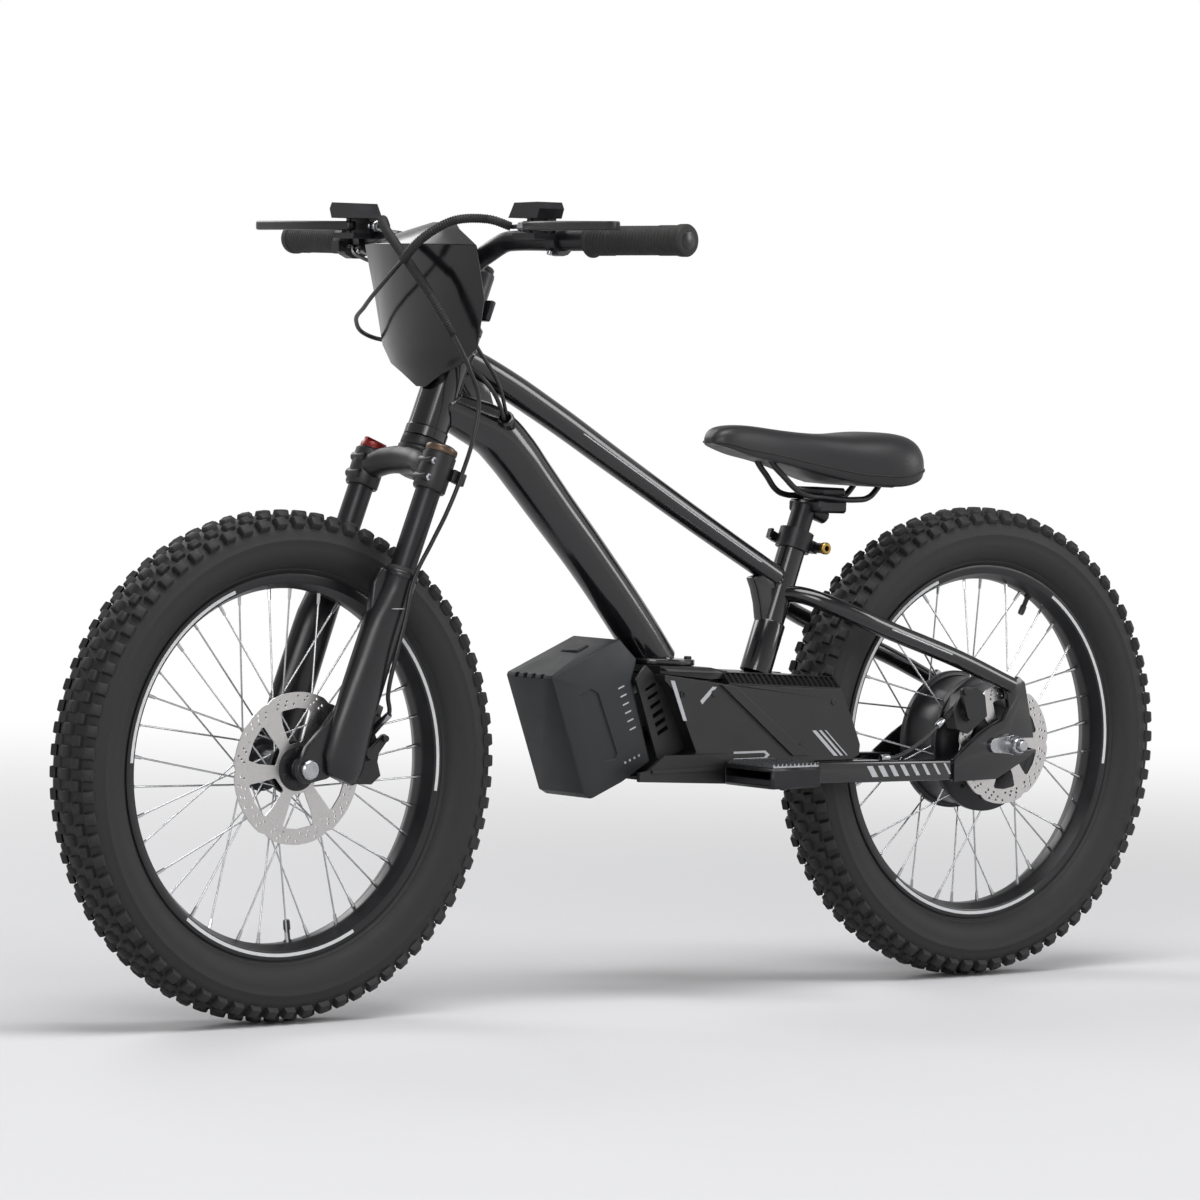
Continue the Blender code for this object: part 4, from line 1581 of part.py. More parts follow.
def build():
    clear_scene()
    steering = pivot("steering_axis", steer(0.0), -STEER_DOWN)
    slide = pivot("fork_slide", steer(LEG_TOP, LEG_OFFSET), -STEER_DOWN, steering)
    front_wheel = pivot("front_wheel_axis", FRONT_HUB, SIDEWAYS, slide)
    rear_wheel = pivot("rear_wheel_axis", REAR_HUB, SIDEWAYS)
    post_slide = pivot("seat_post_slide", seat(SEAT_TUBE_LENGTH), SEAT_UP)
    battery_slide = pivot("battery_slide", battery_point(106.0, 90.0), -battery_frame()[1])
    knob = pivot("lockout_axis", steer(CLAMP_TOP, LEG_OFFSET, RIGHT * LEG_SPREAD), -STEER_DOWN, steering)
    throttle = pivot("throttle_axis", bar_point(RIGHT * BAR_HALF), bar_direction(RIGHT), steering)
    levers = {hand: pivot("lever_axis_" + label, lever_pivot(hand), UP, steering)
              for hand, label in ((LEFT, "left"), (RIGHT, "right"))}
    release = pivot("seat_clamp_lever_axis", qr_pivot(), SEAT_UP)
    front_arm_side = FRONT_ROTOR_SIDE + 13.0 * MM + GAP + ARM_WALL / 2
    front_arm_place = steer(352.0 * MM, -26.0 * MM, front_arm_side)
    front_arm = pivot("front_arm_axis", front_arm_place, SIDEWAYS, slide)
    rear_arm_place = rear(64.0, 38.0, 73.6 * MM)
    rear_arm = pivot("rear_arm_axis", rear_arm_place, SIDEWAYS)
    button = pivot("battery_button_slide", battery_point(72.0, -2.0), battery_frame()[2], battery_slide)

    make_main_frame()
    make_stay(LEFT)
    make_stay(RIGHT)
    make_headset()
    make_seat_clamp()
    make_case()
    make_lid()
    make_cradle()
    make_footrest("footrest_left", "footrest_tread_left", LEFT)
    make_footrest("footrest_right", "footrest_tread_right", RIGHT)
    make_dock()
    make_rear_axle()
    make_rear_caliper()

    make_crown(steering)
    make_stanchion("stanchion_left", LEFT, steering)
    make_stanchion("stanchion_right", RIGHT, steering)
    make_lockout_knob(knob)
    make_stem(steering)
    make_handlebar(steering)
    make_grip("left_grip", LEFT, steering)
    make_grip("throttle_grip", RIGHT, throttle)
    make_throttle_housing(steering)
    make_perch("brake_perch_left", LEFT, steering)
    make_perch("brake_perch_right", RIGHT, steering)
    make_lever("brake_lever_left", LEFT, levers[LEFT])
    make_lever("brake_lever_right", RIGHT, levers[RIGHT])
    make_number_plate(steering)

    make_lowers(slide)
    make_front_axle(slide)
    make_front_caliper(slide)
    make_caliper_arm("front_caliper_arm", front_arm_place, steer(332.0 * MM, -35.0 * MM, front_arm_side), front_arm)
    make_caliper_arm("rear_caliper_arm", rear_arm_place, rear(76.0, 64.0, 73.6 * MM), rear_arm)

    make_tyre("front_tyre", FRONT_HUB, front_wheel)
    make_rim("front_rim", FRONT_HUB, front_wheel)
    make_front_hub(front_wheel)
    make_rotor("front_rotor", FRONT_HUB, FRONT_ROTOR_SIDE, FRONT_ROTOR_RADIUS, front_wheel)
    make_tyre("rear_tyre", REAR_HUB, rear_wheel)
    make_rim("rear_rim", REAR_HUB, rear_wheel)
    make_motor(rear_wheel)
    make_rotor("rear_rotor", REAR_HUB, REAR_ROTOR_SIDE, REAR_ROTOR_RADIUS, rear_wheel)

    make_seat_post(post_slide)
    make_saddle_clamp(post_slide)
    make_saddle_rails(post_slide)
    make_saddle_base(post_slide)
    make_cushion(post_slide)
    make_qr_lever(release)
    make_battery(battery_slide)
    make_battery_button(button)
    make_cables(steering)
    bpy.context.view_layer.update()


build()
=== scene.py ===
import math

import bpy
from mathutils import Matrix, Vector


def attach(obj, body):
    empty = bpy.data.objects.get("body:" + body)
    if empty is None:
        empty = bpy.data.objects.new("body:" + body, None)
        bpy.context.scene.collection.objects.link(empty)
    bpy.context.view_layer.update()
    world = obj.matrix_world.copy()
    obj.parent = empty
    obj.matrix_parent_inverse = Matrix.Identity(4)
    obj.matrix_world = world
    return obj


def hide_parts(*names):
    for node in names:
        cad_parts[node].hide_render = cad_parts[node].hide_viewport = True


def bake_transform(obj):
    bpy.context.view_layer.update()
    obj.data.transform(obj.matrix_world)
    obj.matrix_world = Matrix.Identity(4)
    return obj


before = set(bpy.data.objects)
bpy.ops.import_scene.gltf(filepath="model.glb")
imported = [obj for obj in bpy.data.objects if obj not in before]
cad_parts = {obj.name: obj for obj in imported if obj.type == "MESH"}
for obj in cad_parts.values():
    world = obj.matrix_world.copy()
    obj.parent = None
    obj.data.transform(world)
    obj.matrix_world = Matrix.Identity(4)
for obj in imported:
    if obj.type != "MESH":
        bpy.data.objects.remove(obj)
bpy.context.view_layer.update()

mm = 0.001
turn = 2 * math.pi
across = Vector((0, 1, 0))  # towards the rider's left, the side that faces the camera
print("frame loaded")

# Where things are on the bike, in metres, from the same sizes as the part

bike = {
    "frontAxle": (505, 0, 278),
    "rearAxle": (-505, 0, 278),
    "headLow": (313.6, 0, 630.75),
    "seatFoot": (-171, 0, 366.5),
    "forkLength": 398.1,
}
steerDown = Vector((0.36162, 0, -0.93232))
steerFront = Vector((0.93232, 0, 0.36162))
seatUp = Vector((-0.3412, 0, 0.9400))
seatBack = Vector((-0.9400, 0, -0.3412))
frontAxle = Vector(bike["frontAxle"]) * mm
rearAxle = Vector(bike["rearAxle"]) * mm


def steer(down, forward=0, side=0):
    return (Vector(bike["headLow"]) + steerDown * down + steerFront * forward + across * side) * mm


def fromAxle(down, forward=0, side=0):
    return steer(bike["forkLength"] + down, forward, side)


def rear(x, z, side=0):
    return rearAxle + Vector((x, side, z)) * mm


def seat(up, behind=0, side=0):
    return (Vector(bike["seatFoot"]) + seatUp * up + seatBack * behind + across * side) * mm


# Materials: one function that adds a node, one that reads a colour

def hexColour(code):
    parts = [int(code[i:i + 2], 16) / 255 for i in (1, 3, 5)]
    return tuple(c / 12.92 if c <= 0.04045 else ((c + 0.055) / 1.055) ** 2.4 for c in parts) + (1,)


def addNode(tree, kind, settings=None, links=None):
    node = tree.nodes.new(kind)
    for key, value in (settings or {}).items():
        if isinstance(key, int) or key in node.inputs:
            node.inputs[key].default_value = value
        else:
            setattr(node, key, value)
    for key, source in (links or {}).items():
        tree.links.new(source, node.inputs[key])
    return node


# Finishes that are a colour, a gloss and a fine grain. grain is (size, height) in mm of the surface's own texture,
# cloud is (size in mm, share) of its slow change of tone, and rough has the lowest and highest roughness.
finishes = {
    # polyester powder coat over steel: wet black, broken only by a little orange peel
    "glossBlackPowderCoat": dict(base="#0d0d10", tone="#16161a", rough=(0.14, 0.22), grain=(2.2, 0.012),
                                 cloud=(60, 0.5), coat=0.35),
    # thinner semi-gloss coat on the cast lower legs: softer lights
    "semiGlossForkPaint": dict(base="#131215", tone="#1d1b1f", rough=(0.26, 0.36), grain=(1.6, 0.02),
                               cloud=(45, 0.5)),
    # bead-blasted and dyed aluminium: dark grey with a fine sparkle
    "blackAnodisedAlloy": dict(base="#17171a", tone="#232327", rough=(0.30, 0.42), grain=(0.7, 0.02),
                               cloud=(25, 0.5), metallic=0.35),
    # injection-moulded ABS with a spark-eroded grain: even and dull
    "grainedBlackAbs": dict(base="#0e0e0e", tone="#151515", rough=(0.42, 0.54), grain=(0.9, 0.05),
                            cloud=(40, 0.5)),
    # smooth-moulded ABS of the case sides
    "smoothBlackAbs": dict(base="#101011", tone="#19191a", rough=(0.28, 0.38), grain=(1.5, 0.015),
                           cloud=(55, 0.5)),
    # polycarbonate battery shell with a dry, fine texture
    "dryGreyPolycarbonate": dict(base="#15171a", tone="#1d1f22", rough=(0.50, 0.62), grain=(0.8, 0.05),
                                 cloud=(35, 0.5)),
    # polished polypropylene plate
    "glossBlackPlate": dict(base="#0f0f12", tone="#161619", rough=(0.12, 0.2), grain=(6, 0.02), cloud=(80, 0.4)),
    # pressed and painted lever blades
    "satinBlackLever": dict(base="#202022", tone="#2a2a2c", rough=(0.30, 0.40), grain=(1.0, 0.02),
                            cloud=(30, 0.5), metallic=0.3),
    # cast caliper bodies with a rough black coat
    "castCaliperCoat": dict(base="#19191b", tone="#232325", rough=(0.34, 0.46), grain=(1.2, 0.04),
                            cloud=(20, 0.5), metallic=0.2),
    # zinc-plated bolts and nuts: pale, slightly blue steel
    "brightZinc": dict(base="#b4b5b8", tone="#8f9094", rough=(0.22, 0.36), grain=(0.8, 0.01), cloud=(8, 0.6),
                       metallic=1.0),
    # yellow-passivated nut of the seat lever
    "yellowPassivate": dict(base="#a98a4d", tone="#86703f", rough=(0.26, 0.38), grain=(0.8, 0.01), cloud=(6, 0.6),
                            metallic=1.0),
    # drawn stainless spoke wire
    "drawnSpokeWire": dict(base="#c6c7c9", tone="#a0a1a4", rough=(0.18, 0.3), grain=(1.5, 0.005), cloud=(12, 0.6),
                           metallic=1.0),
    # rolled rim with a satin black anodic film
    "satinBlackRim": dict(base="#1b1b1d", tone="#262629", rough=(0.28, 0.4), grain=(1.4, 0.015), cloud=(50, 0.5),
                          metallic=0.25),
    # soft moulded rubber of the grips
    "softGripRubber": dict(base="#131211", tone="#1b1a19", rough=(0.6, 0.75), grain=(0.9, 0.06), cloud=(20, 0.5)),
    # extruded cable housing: smooth black polymer
    "blackCableHousing": dict(base="#0f0f10", tone="#181819", rough=(0.3, 0.42), grain=(1.2, 0.01), cloud=(20, 0.5)),
    # red-dyed aluminium knob
    "redAnodisedKnob": dict(base="#6e1712", tone="#8a231a", rough=(0.28, 0.4), grain=(0.7, 0.015), cloud=(10, 0.5),
                            metallic=0.4),
    # silver film under the clear coat; the same pale finish also paints the highlight lines along the tubes
    "silverFilmAndHighlight": dict(base="#b9babd", tone="#a2a3a7", rough=(0.32, 0.42), grain=(0.5, 0.01), cloud=(20, 0.4),
                       metallic=0.45),
    # glass-bead reflective tape: pale grey, dry
    "beadedTape": dict(base="#d4d5d6", tone="#bfc0c2", rough=(0.45, 0.6), grain=(0.6, 0.02), cloud=(14, 0.4)),
    # bronze-toned cap on the left leg
    "bronzeCap": dict(base="#57483c", tone="#6b5a4a", rough=(0.3, 0.42), grain=(0.8, 0.02), cloud=(10, 0.5),
                      metallic=0.7),
    # sintered pads and dark steel behind them
    "phosphatedSteel": dict(base="#2a2a2b", tone="#38383a", rough=(0.4, 0.55), grain=(0.8, 0.03), cloud=(12, 0.5),
                            metallic=0.6),
}
madeFinishes = {}


def finish(name):
    if name in madeFinishes:
        return madeFinishes[name]
    look = finishes[name]
    material = bpy.data.materials.new(name)
    material.use_nodes = True
    tree = material.node_tree
    tree.nodes.clear()
    place = addNode(tree, "ShaderNodeTexCoord").outputs["Object"]
    cloud = addNode(tree, "ShaderNodeTexNoise", {"Scale": 1 / (look["cloud"][0] * mm), "Detail": 4, "Roughness": 0.6},
                    {"Vector": place})
    grain = addNode(tree, "ShaderNodeTexNoise", {"Scale": 1 / (look["grain"][0] * mm), "Detail": 3}, {"Vector": place})
    share = addNode(tree, "ShaderNodeMapRange", {"From Min": 0.3, "From Max": 0.7, "To Max": look["cloud"][1]},
                    {"Value": cloud.outputs["Fac"]})
    colour = addNode(tree, "ShaderNodeMix", {"data_type": "RGBA", 6: hexColour(look["base"]),
                                             7: hexColour(look["tone"])}, {0: share.outputs["Result"]})
    rough = addNode(tree, "ShaderNodeMapRange", {"From Min": 0.3, "From Max": 0.7, "To Min": look["rough"][0],
                                                 "To Max": look["rough"][1]}, {"Value": cloud.outputs["Fac"]})
    bump = addNode(tree, "ShaderNodeBump", {"Strength": 0.5, "Distance": look["grain"][1] * mm},
                   {"Height": grain.outputs["Fac"]})
    shader = addNode(tree, "ShaderNodeBsdfPrincipled", {"Metallic": look.get("metallic", 0),
                                                        "Coat Weight": look.get("coat", 0), "Coat Roughness": 0.06},
                     {"Base Color": colour.outputs[2], "Roughness": rough.outputs["Result"],
                      "Normal": bump.outputs["Normal"]})
    addNode(tree, "ShaderNodeOutputMaterial", None, {"Surface": shader.outputs["BSDF"]})
    madeFinishes[name] = material
    return material


print("finishes ready")

# Camera, light and floor

camera = {"place": (4.2409, 5.1841, 0.7657), "lens": 177.73, "around": 2.4630, "above": 0.0471, "roll": 0.0219}


def addCamera():
    bpy.ops.object.camera_add(location=camera["place"])
    eye = bpy.context.object
    a, e, r = camera["around"], camera["above"], camera["roll"]
    back = Vector((math.sin(a) * math.cos(e), -math.cos(a) * math.cos(e), math.sin(e)))
    right = Vector((math.cos(a), math.sin(a), 0))
    up = back.cross(right)
    side = right * math.cos(r) + up * math.sin(r)
    top = up * math.cos(r) - right * math.sin(r)
    eye.rotation_euler = Matrix((side, top, back)).transposed().to_euler()
    eye.data.lens = camera["lens"]
    eye.data.sensor_width = 36
    eye.data.clip_end = 200
    bpy.context.scene.camera = eye


# Each lamp is a soft box: where it stands, what it looks at, its size in metres and its power in watts
lamps = {
    "overheadBox": dict(place=(0.3, 0.9, 3.2), aim=(0, 0, 0.4), size=(2.6, 1.5), power=85),
    "frontBox": dict(place=(3.2, 3.4, 1.9), aim=(0.1, 0, 0.5), size=(1.8, 1.8), power=60),
    "rearBox": dict(place=(-3.0, 2.2, 1.8), aim=(-0.3, 0, 0.5), size=(1.2, 1.8), power=38),
    "farBox": dict(place=(0.2, -3.0, 2.4), aim=(0, 0, 0.5), size=(2.4, 1.4), power=45),
}


def addLamps():
    for name, lamp in lamps.items():
        bpy.ops.object.light_add(type="AREA", location=lamp["place"])
        box = bpy.context.object
        box.name = name
        box.data.shape = "RECTANGLE"
        box.data.size, box.data.size_y = lamp["size"]
        box.data.energy = lamp["power"]
        aim = Vector(lamp["aim"]) - Vector(lamp["place"])
        box.rotation_euler = aim.to_track_quat("-Z", "Y").to_euler()


# The room is white to the eye and in reflections near the horizon, and dimmer as light and overhead
room = {"seen": 1.0, "light": 0.3, "overhead": 0.16}


def addRoom():
    world = bpy.data.worlds.new("paleRoom")
    bpy.context.scene.world = world
    world.use_nodes = True
    tree = world.node_tree
    tree.nodes.clear()
    rays = addNode(tree, "ShaderNodeLightPath")
    way = addNode(tree, "ShaderNodeTexCoord").outputs["Generated"]
    height = addNode(tree, "ShaderNodeSeparateXYZ", None, {"Vector": way}).outputs["Z"]
    upward = addNode(tree, "ShaderNodeMapRange", {"From Min": 0.12, "From Max": 0.8, "To Min": 0.8,
                                                  "To Max": room["overhead"]}, {"Value": height})
    glossy = addNode(tree, "ShaderNodeMath", {"operation": "MULTIPLY"},
                     {0: rays.outputs["Is Glossy Ray"], 1: upward.outputs["Result"]})
    clear = addNode(tree, "ShaderNodeMath", {"operation": "MAXIMUM"},
                    {0: rays.outputs["Is Camera Ray"], 1: rays.outputs["Is Transmission Ray"]})
    seen = addNode(tree, "ShaderNodeMath", {"operation": "MAXIMUM"},
                   {0: clear.outputs[0], 1: glossy.outputs[0]})
    diffuse = addNode(tree, "ShaderNodeMath", {"operation": "MULTIPLY", 1: room["light"]},
                      {0: rays.outputs["Is Diffuse Ray"]})
    total = addNode(tree, "ShaderNodeMath", {"operation": "MAXIMUM"},
                    {0: seen.outputs[0], 1: diffuse.outputs[0]})
    light = addNode(tree, "ShaderNodeBackground", {"Color": (1, 1, 1, 1)}, {"Strength": total.outputs[0]})
    addNode(tree, "ShaderNodeOutputWorld", None, {"Surface": light.outputs["Background"]})


floorLook = {"paint": "#d0d0d2", "radius": 40.0, "fadeFrom": 0.6, "fadeTo": 4.6}


def addFloor():
    # Pale painted floor that turns into the white of the room with distance
    bpy.ops.object.select_all(action="DESELECT")
    bpy.ops.mesh.primitive_circle_add(vertices=96, radius=floorLook["radius"], fill_type="NGON")
    floor = bpy.context.object
    floor.name = "paleFloor"
    material = bpy.data.materials.new("paleFloorPaint")
    material.use_nodes = True
    tree = material.node_tree
    tree.nodes.clear()
    place = addNode(tree, "ShaderNodeTexCoord").outputs["Object"]
    away = addNode(tree, "ShaderNodeVectorMath", {"operation": "LENGTH"}, {0: place})
    fade = addNode(tree, "ShaderNodeMapRange", {"From Min": floorLook["fadeFrom"], "From Max": floorLook["fadeTo"],
                                                "interpolation_type": "SMOOTHSTEP"}, {"Value": away.outputs["Value"]})
    dust = addNode(tree, "ShaderNodeTexNoise", {"Scale": 30.0, "Detail": 3}, {"Vector": place})
    rough = addNode(tree, "ShaderNodeMapRange", {"To Min": 0.6, "To Max": 0.8}, {"Value": dust.outputs["Fac"]})
    paint = addNode(tree, "ShaderNodeBsdfPrincipled", {"Base Color": hexColour(floorLook["paint"]),
                                                       "Specular IOR Level": 0.2},
                    {"Roughness": rough.outputs["Result"]})
    rays = addNode(tree, "ShaderNodeLightPath")
    eye = addNode(tree, "ShaderNodeMath", {"operation": "MAXIMUM"},
                  {0: rays.outputs["Is Camera Ray"], 1: rays.outputs["Is Glossy Ray"]})
    white = addNode(tree, "ShaderNodeEmission", {"Color": (1, 1, 1, 1)}, {"Strength": eye.outputs[0]})
    mixed = addNode(tree, "ShaderNodeMixShader", None, {0: fade.outputs["Result"], 1: paint.outputs["BSDF"],
                                                       2: white.outputs["Emission"]})
    addNode(tree, "ShaderNodeOutputMaterial", None, {"Surface": mixed.outputs["Shader"]})
    floor.data.materials.append(material)


bpy.context.scene.view_settings.view_transform = "Standard"
addCamera()
addLamps()
addRoom()
addFloor()
print("camera, lamps and floor set")

# Modelling by hand: a line or a primitive is started, shaped in edit mode, and settled on its body

def clearSelection():
    if bpy.context.object and bpy.context.object.mode == "EDIT":
        bpy.ops.object.mode_set(mode="OBJECT")
    bpy.ops.object.select_all(action="DESELECT")


def drawLine(points):
    # one vertex, pulled from point to point; leaves the line in edit mode
    clearSelection()
    bpy.ops.mesh.primitive_plane_add(size=0.001, location=points[0])
    bpy.ops.object.mode_set(mode="EDIT")
    bpy.ops.mesh.merge(type="CENTER")
    for near, far in zip(points, points[1:]):
        bpy.ops.mesh.extrude_region_move(TRANSFORM_OT_translate={"value": far - near})
    bpy.ops.mesh.select_all(action="SELECT")


def closeUp():
    bpy.ops.mesh.select_all(action="SELECT")
    bpy.ops.mesh.remove_doubles(threshold=0.00002)
    bpy.ops.mesh.normals_make_consistent(inside=False)
    bpy.ops.object.mode_set(mode="OBJECT")
    return bpy.context.object


def spun(profile, centre, axis, steps, out=None, angle=turn):
    # a profile of (radius, along) in mm, spun round an axis
    axis = Vector(axis).normalized()
    out = Vector(out).normalized() if out else axis.orthogonal().normalized()
    drawLine([centre + (out * radius + axis * along) * mm for radius, along in profile])
    bpy.ops.mesh.spin(steps=steps, angle=angle, center=centre, axis=axis)
    return closeUp()


def repeatRound(count, centre, axis):
    # the piece in hand, copied round an axis
    bpy.ops.object.mode_set(mode="EDIT")
    bpy.ops.mesh.select_all(action="SELECT")
    bpy.ops.mesh.spin(steps=count - 1, dupli=True, angle=turn * (count - 1) / count, center=centre, axis=axis)
    bpy.ops.object.mode_set(mode="OBJECT")


def sheetOf(points, depth):
    # a closed outline, filled and pulled out along depth
    drawLine(points)
    bpy.ops.mesh.edge_face_add()
    bpy.ops.mesh.extrude_region_move(TRANSFORM_OT_translate={"value": depth})
    return closeUp()


def rodBetween(start, end, radius, sides=16, endRadius=None):
    run = end - start
    bpy.ops.mesh.primitive_cone_add(vertices=sides, radius1=radius, radius2=radius if endRadius is None else endRadius,
                                    depth=run.length, location=(start + end) / 2,
                                    rotation=run.to_track_quat("Z", "Y").to_euler())
    return bpy.context.object


def blockAt(size, centre, ahead=(1, 0, 0), up=(0, 0, 1), bevel=1.0, segments=2):
    # a block of size in mm with rounded edges, its length along ahead
    ahead, up = Vector(ahead).normalized(), Vector(up).normalized()
    side = up.cross(ahead).normalized()
    spin = Matrix((ahead, side, ahead.cross(side))).transposed()
    clearSelection()
    bpy.ops.mesh.primitive_cube_add(size=1, location=centre, rotation=spin.to_euler(), scale=Vector(size) * mm)
    bpy.ops.object.transform_apply(location=False, rotation=False, scale=True)
    if bevel:
        bpy.ops.object.mode_set(mode="EDIT")
        bpy.ops.mesh.bevel(offset=bevel * mm, segments=segments, affect="EDGES")
        bpy.ops.object.mode_set(mode="OBJECT")
    return bpy.context.object


def tubeAlong(points, radius, sizes=None, sides=20, steps=8, closed=False):
    # a round tube on a smooth path through points; sizes swell it from point to point
    clearSelection()
    bpy.ops.curve.primitive_bezier_curve_add(location=(0, 0, 0))
    line = bpy.context.object
    spline = line.data.splines[0]
    spline.bezier_points.add(len(points) - 2)
    for knot, place, size in zip(spline.bezier_points, points, sizes or [1] * len(points)):
        knot.co, knot.radius = place, size
        knot.handle_left_type = knot.handle_right_type = "AUTO"
    spline.use_cyclic_u = closed
    spline.radius_interpolation = "CARDINAL"
    line.data.resolution_u = steps
    line.data.bevel_depth = radius * mm
    line.data.bevel_resolution = (sides - 4) // 2
    line.data.use_fill_caps = True
    bpy.ops.object.convert(target="MESH")
    bpy.ops.object.mode_set(mode="EDIT")
    return closeUp()


def merge(pieces):
    if len(pieces) == 1:
        return pieces[0]
    clearSelection()
    for piece in pieces:
        piece.select_set(True)
    bpy.context.view_layer.objects.active = pieces[0]
    bpy.ops.object.join()
    return bpy.context.object


def carve(piece, cutters, operation="DIFFERENCE", solver="EXACT"):
    cutter = merge(cutters) if len(cutters) > 1 else cutters[0]
    clearSelection()
    piece.select_set(True)
    bpy.context.view_layer.objects.active = piece
    step = piece.modifiers.new("carve", "BOOLEAN")
    step.object, step.operation, step.solver = cutter, operation, solver
    bpy.ops.object.modifier_apply(modifier=step.name)
    bpy.data.objects.remove(cutter)
    return piece


def roundEdges(piece, width, segments=2, angle=30):
    clearSelection()
    piece.select_set(True)
    bpy.context.view_layer.objects.active = piece
    bpy.ops.object.transform_apply(location=True, rotation=True, scale=True)
    step = piece.modifiers.new("edges", "BEVEL")
    step.width, step.segments, step.angle_limit = width * mm, segments, math.radians(angle)
    bpy.ops.object.modifier_apply(modifier=step.name)
    return piece


def settle(piece, name, look, body, stands=(), smooth=38):
    # its place goes into its mesh; then finish, shading, body and the CAD nodes that it stands for
    clearSelection()
    piece.select_set(True)
    bpy.context.view_layer.objects.active = piece
    bpy.ops.object.transform_apply(location=True, rotation=True, scale=True)
    bpy.ops.object.shade_smooth_by_angle(angle=math.radians(smooth))
    piece.name = name
    piece.data.materials.clear()
    piece.data.materials.append(finish(look) if isinstance(look, str) else look)
    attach(piece, body)
    if stands:
        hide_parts(*stands)
    return piece


# Wheels

def tyreRubberFinish():
    # moulded natural rubber: matt, faintly mottled, with fine mould flow
    material = bpy.data.materials.new("mouldedTyreRubber")
    material.use_nodes = True
    tree = material.node_tree
    tree.nodes.clear()
    place = addNode(tree, "ShaderNodeTexCoord").outputs["Object"]
    bloom = addNode(tree, "ShaderNodeTexNoise", {"Scale": 1 / (38 * mm), "Detail": 5, "Roughness": 0.65},
                    {"Vector": place})
    flow = addNode(tree, "ShaderNodeTexNoise", {"Scale": 1 / (1.6 * mm), "Detail": 3}, {"Vector": place})
    share = addNode(tree, "ShaderNodeMapRange", {"From Min": 0.35, "From Max": 0.7}, {"Value": bloom.outputs["Fac"]})
    colour = addNode(tree, "ShaderNodeMix", {"data_type": "RGBA", 6: hexColour("#0f0f0f"), 7: hexColour("#181717")},
                     {0: share.outputs["Result"]})
    rough = addNode(tree, "ShaderNodeMapRange", {"To Min": 0.55, "To Max": 0.78}, {"Value": bloom.outputs["Fac"]})
    bump = addNode(tree, "ShaderNodeBump", {"Strength": 0.6, "Distance": 0.08 * mm}, {"Height": flow.outputs["Fac"]})
    shader = addNode(tree, "ShaderNodeBsdfPrincipled", {"IOR": 1.52},
                     {"Base Color": colour.outputs[2], "Roughness": rough.outputs["Result"],
                      "Normal": bump.outputs["Normal"]})
    addNode(tree, "ShaderNodeOutputMaterial", None, {"Surface": shader.outputs["BSDF"]})
    return material


def groundSteelFinish(centre):
    # ground stainless disc: bright, with rings of fine scratches round its centre
    material = bpy.data.materials.new("groundDiscSteel")
    material.use_nodes = True
    tree = material.node_tree
    tree.nodes.clear()
    place = addNode(tree, "ShaderNodeTexCoord").outputs["Object"]
    centred = addNode(tree, "ShaderNodeMapping", {"Location": -centre}, {"Vector": place})
    away = addNode(tree, "ShaderNodeVectorMath", {"operation": "LENGTH"}, {0: centred.outputs["Vector"]})
    rings = addNode(tree, "ShaderNodeTexNoise", {"noise_dimensions": "1D", "Scale": 1 / (0.9 * mm), "Detail": 4},
                    {"W": away.outputs["Value"]})
    haze = addNode(tree, "ShaderNodeTexNoise", {"Scale": 1 / (14 * mm), "Detail": 3}, {"Vector": place})
    colour = addNode(tree, "ShaderNodeMix", {"data_type": "RGBA", 6: hexColour("#c9c7c6"), 7: hexColour("#b3b1b0")},
                     {0: rings.outputs["Fac"]})
    both = addNode(tree, "ShaderNodeMath", {"operation": "MULTIPLY"}, {0: rings.outputs["Fac"], 1: haze.outputs["Fac"]})
    rough = addNode(tree, "ShaderNodeMapRange", {"From Min": 0.1, "From Max": 0.45, "To Min": 0.24, "To Max": 0.42},
                    {"Value": both.outputs[0]})
    bump = addNode(tree, "ShaderNodeBump", {"Strength": 0.25, "Distance": 0.02 * mm}, {"Height": rings.outputs["Fac"]})
    shader = addNode(tree, "ShaderNodeBsdfPrincipled", {"Metallic": 1.0},
                     {"Base Color": colour.outputs[2], "Roughness": rough.outputs["Result"],
                      "Normal": bump.outputs["Normal"]})
    addNode(tree, "ShaderNodeOutputMaterial", None, {"Surface": shader.outputs["BSDF"]})
    return material


tyre = {
    # half of the casing's section, (radius, side) in mm from the bead to the crown
    "section": [(203.4, 18.8), (208.5, 18.9), (211.0, 19.6), (213.4, 23.0), (214.6, 23.2), (217.5, 27.4),
                (223.0, 31.6), (230.0, 34.6), (237.0, 35.8), (244.0, 35.9), (245.0, 36.3), (246.6, 36.3),
                (247.6, 35.6), (252.0, 34.9), (257.0, 33.4), (262.0, 30.2), (266.2, 25.2), (269.2, 19.0),
                (271.0, 12.0), (271.8, 5.0)],
    "inside": [(263.0, 14.0), (256.0, 27.0), (236.0, 32.0), (214.0, 19.0), (203.4, 15.4)],
    "steps": 120,
    "pitches": 72,
    # rows of blocks: side, radius of the base, lean, length round the tyre, width across, height, share of a pitch
    "rows": [(29.6, 263.6, 52, 14.0, 12.5, 7.0, 0.0), (16.8, 268.6, 24, 13.0, 10.5, 7.0, 0.5),
             (0.0, 271.0, 0, 14.0, 12.0, 6.7, 0.0)],
}
tyreRubber = tyreRubberFinish()


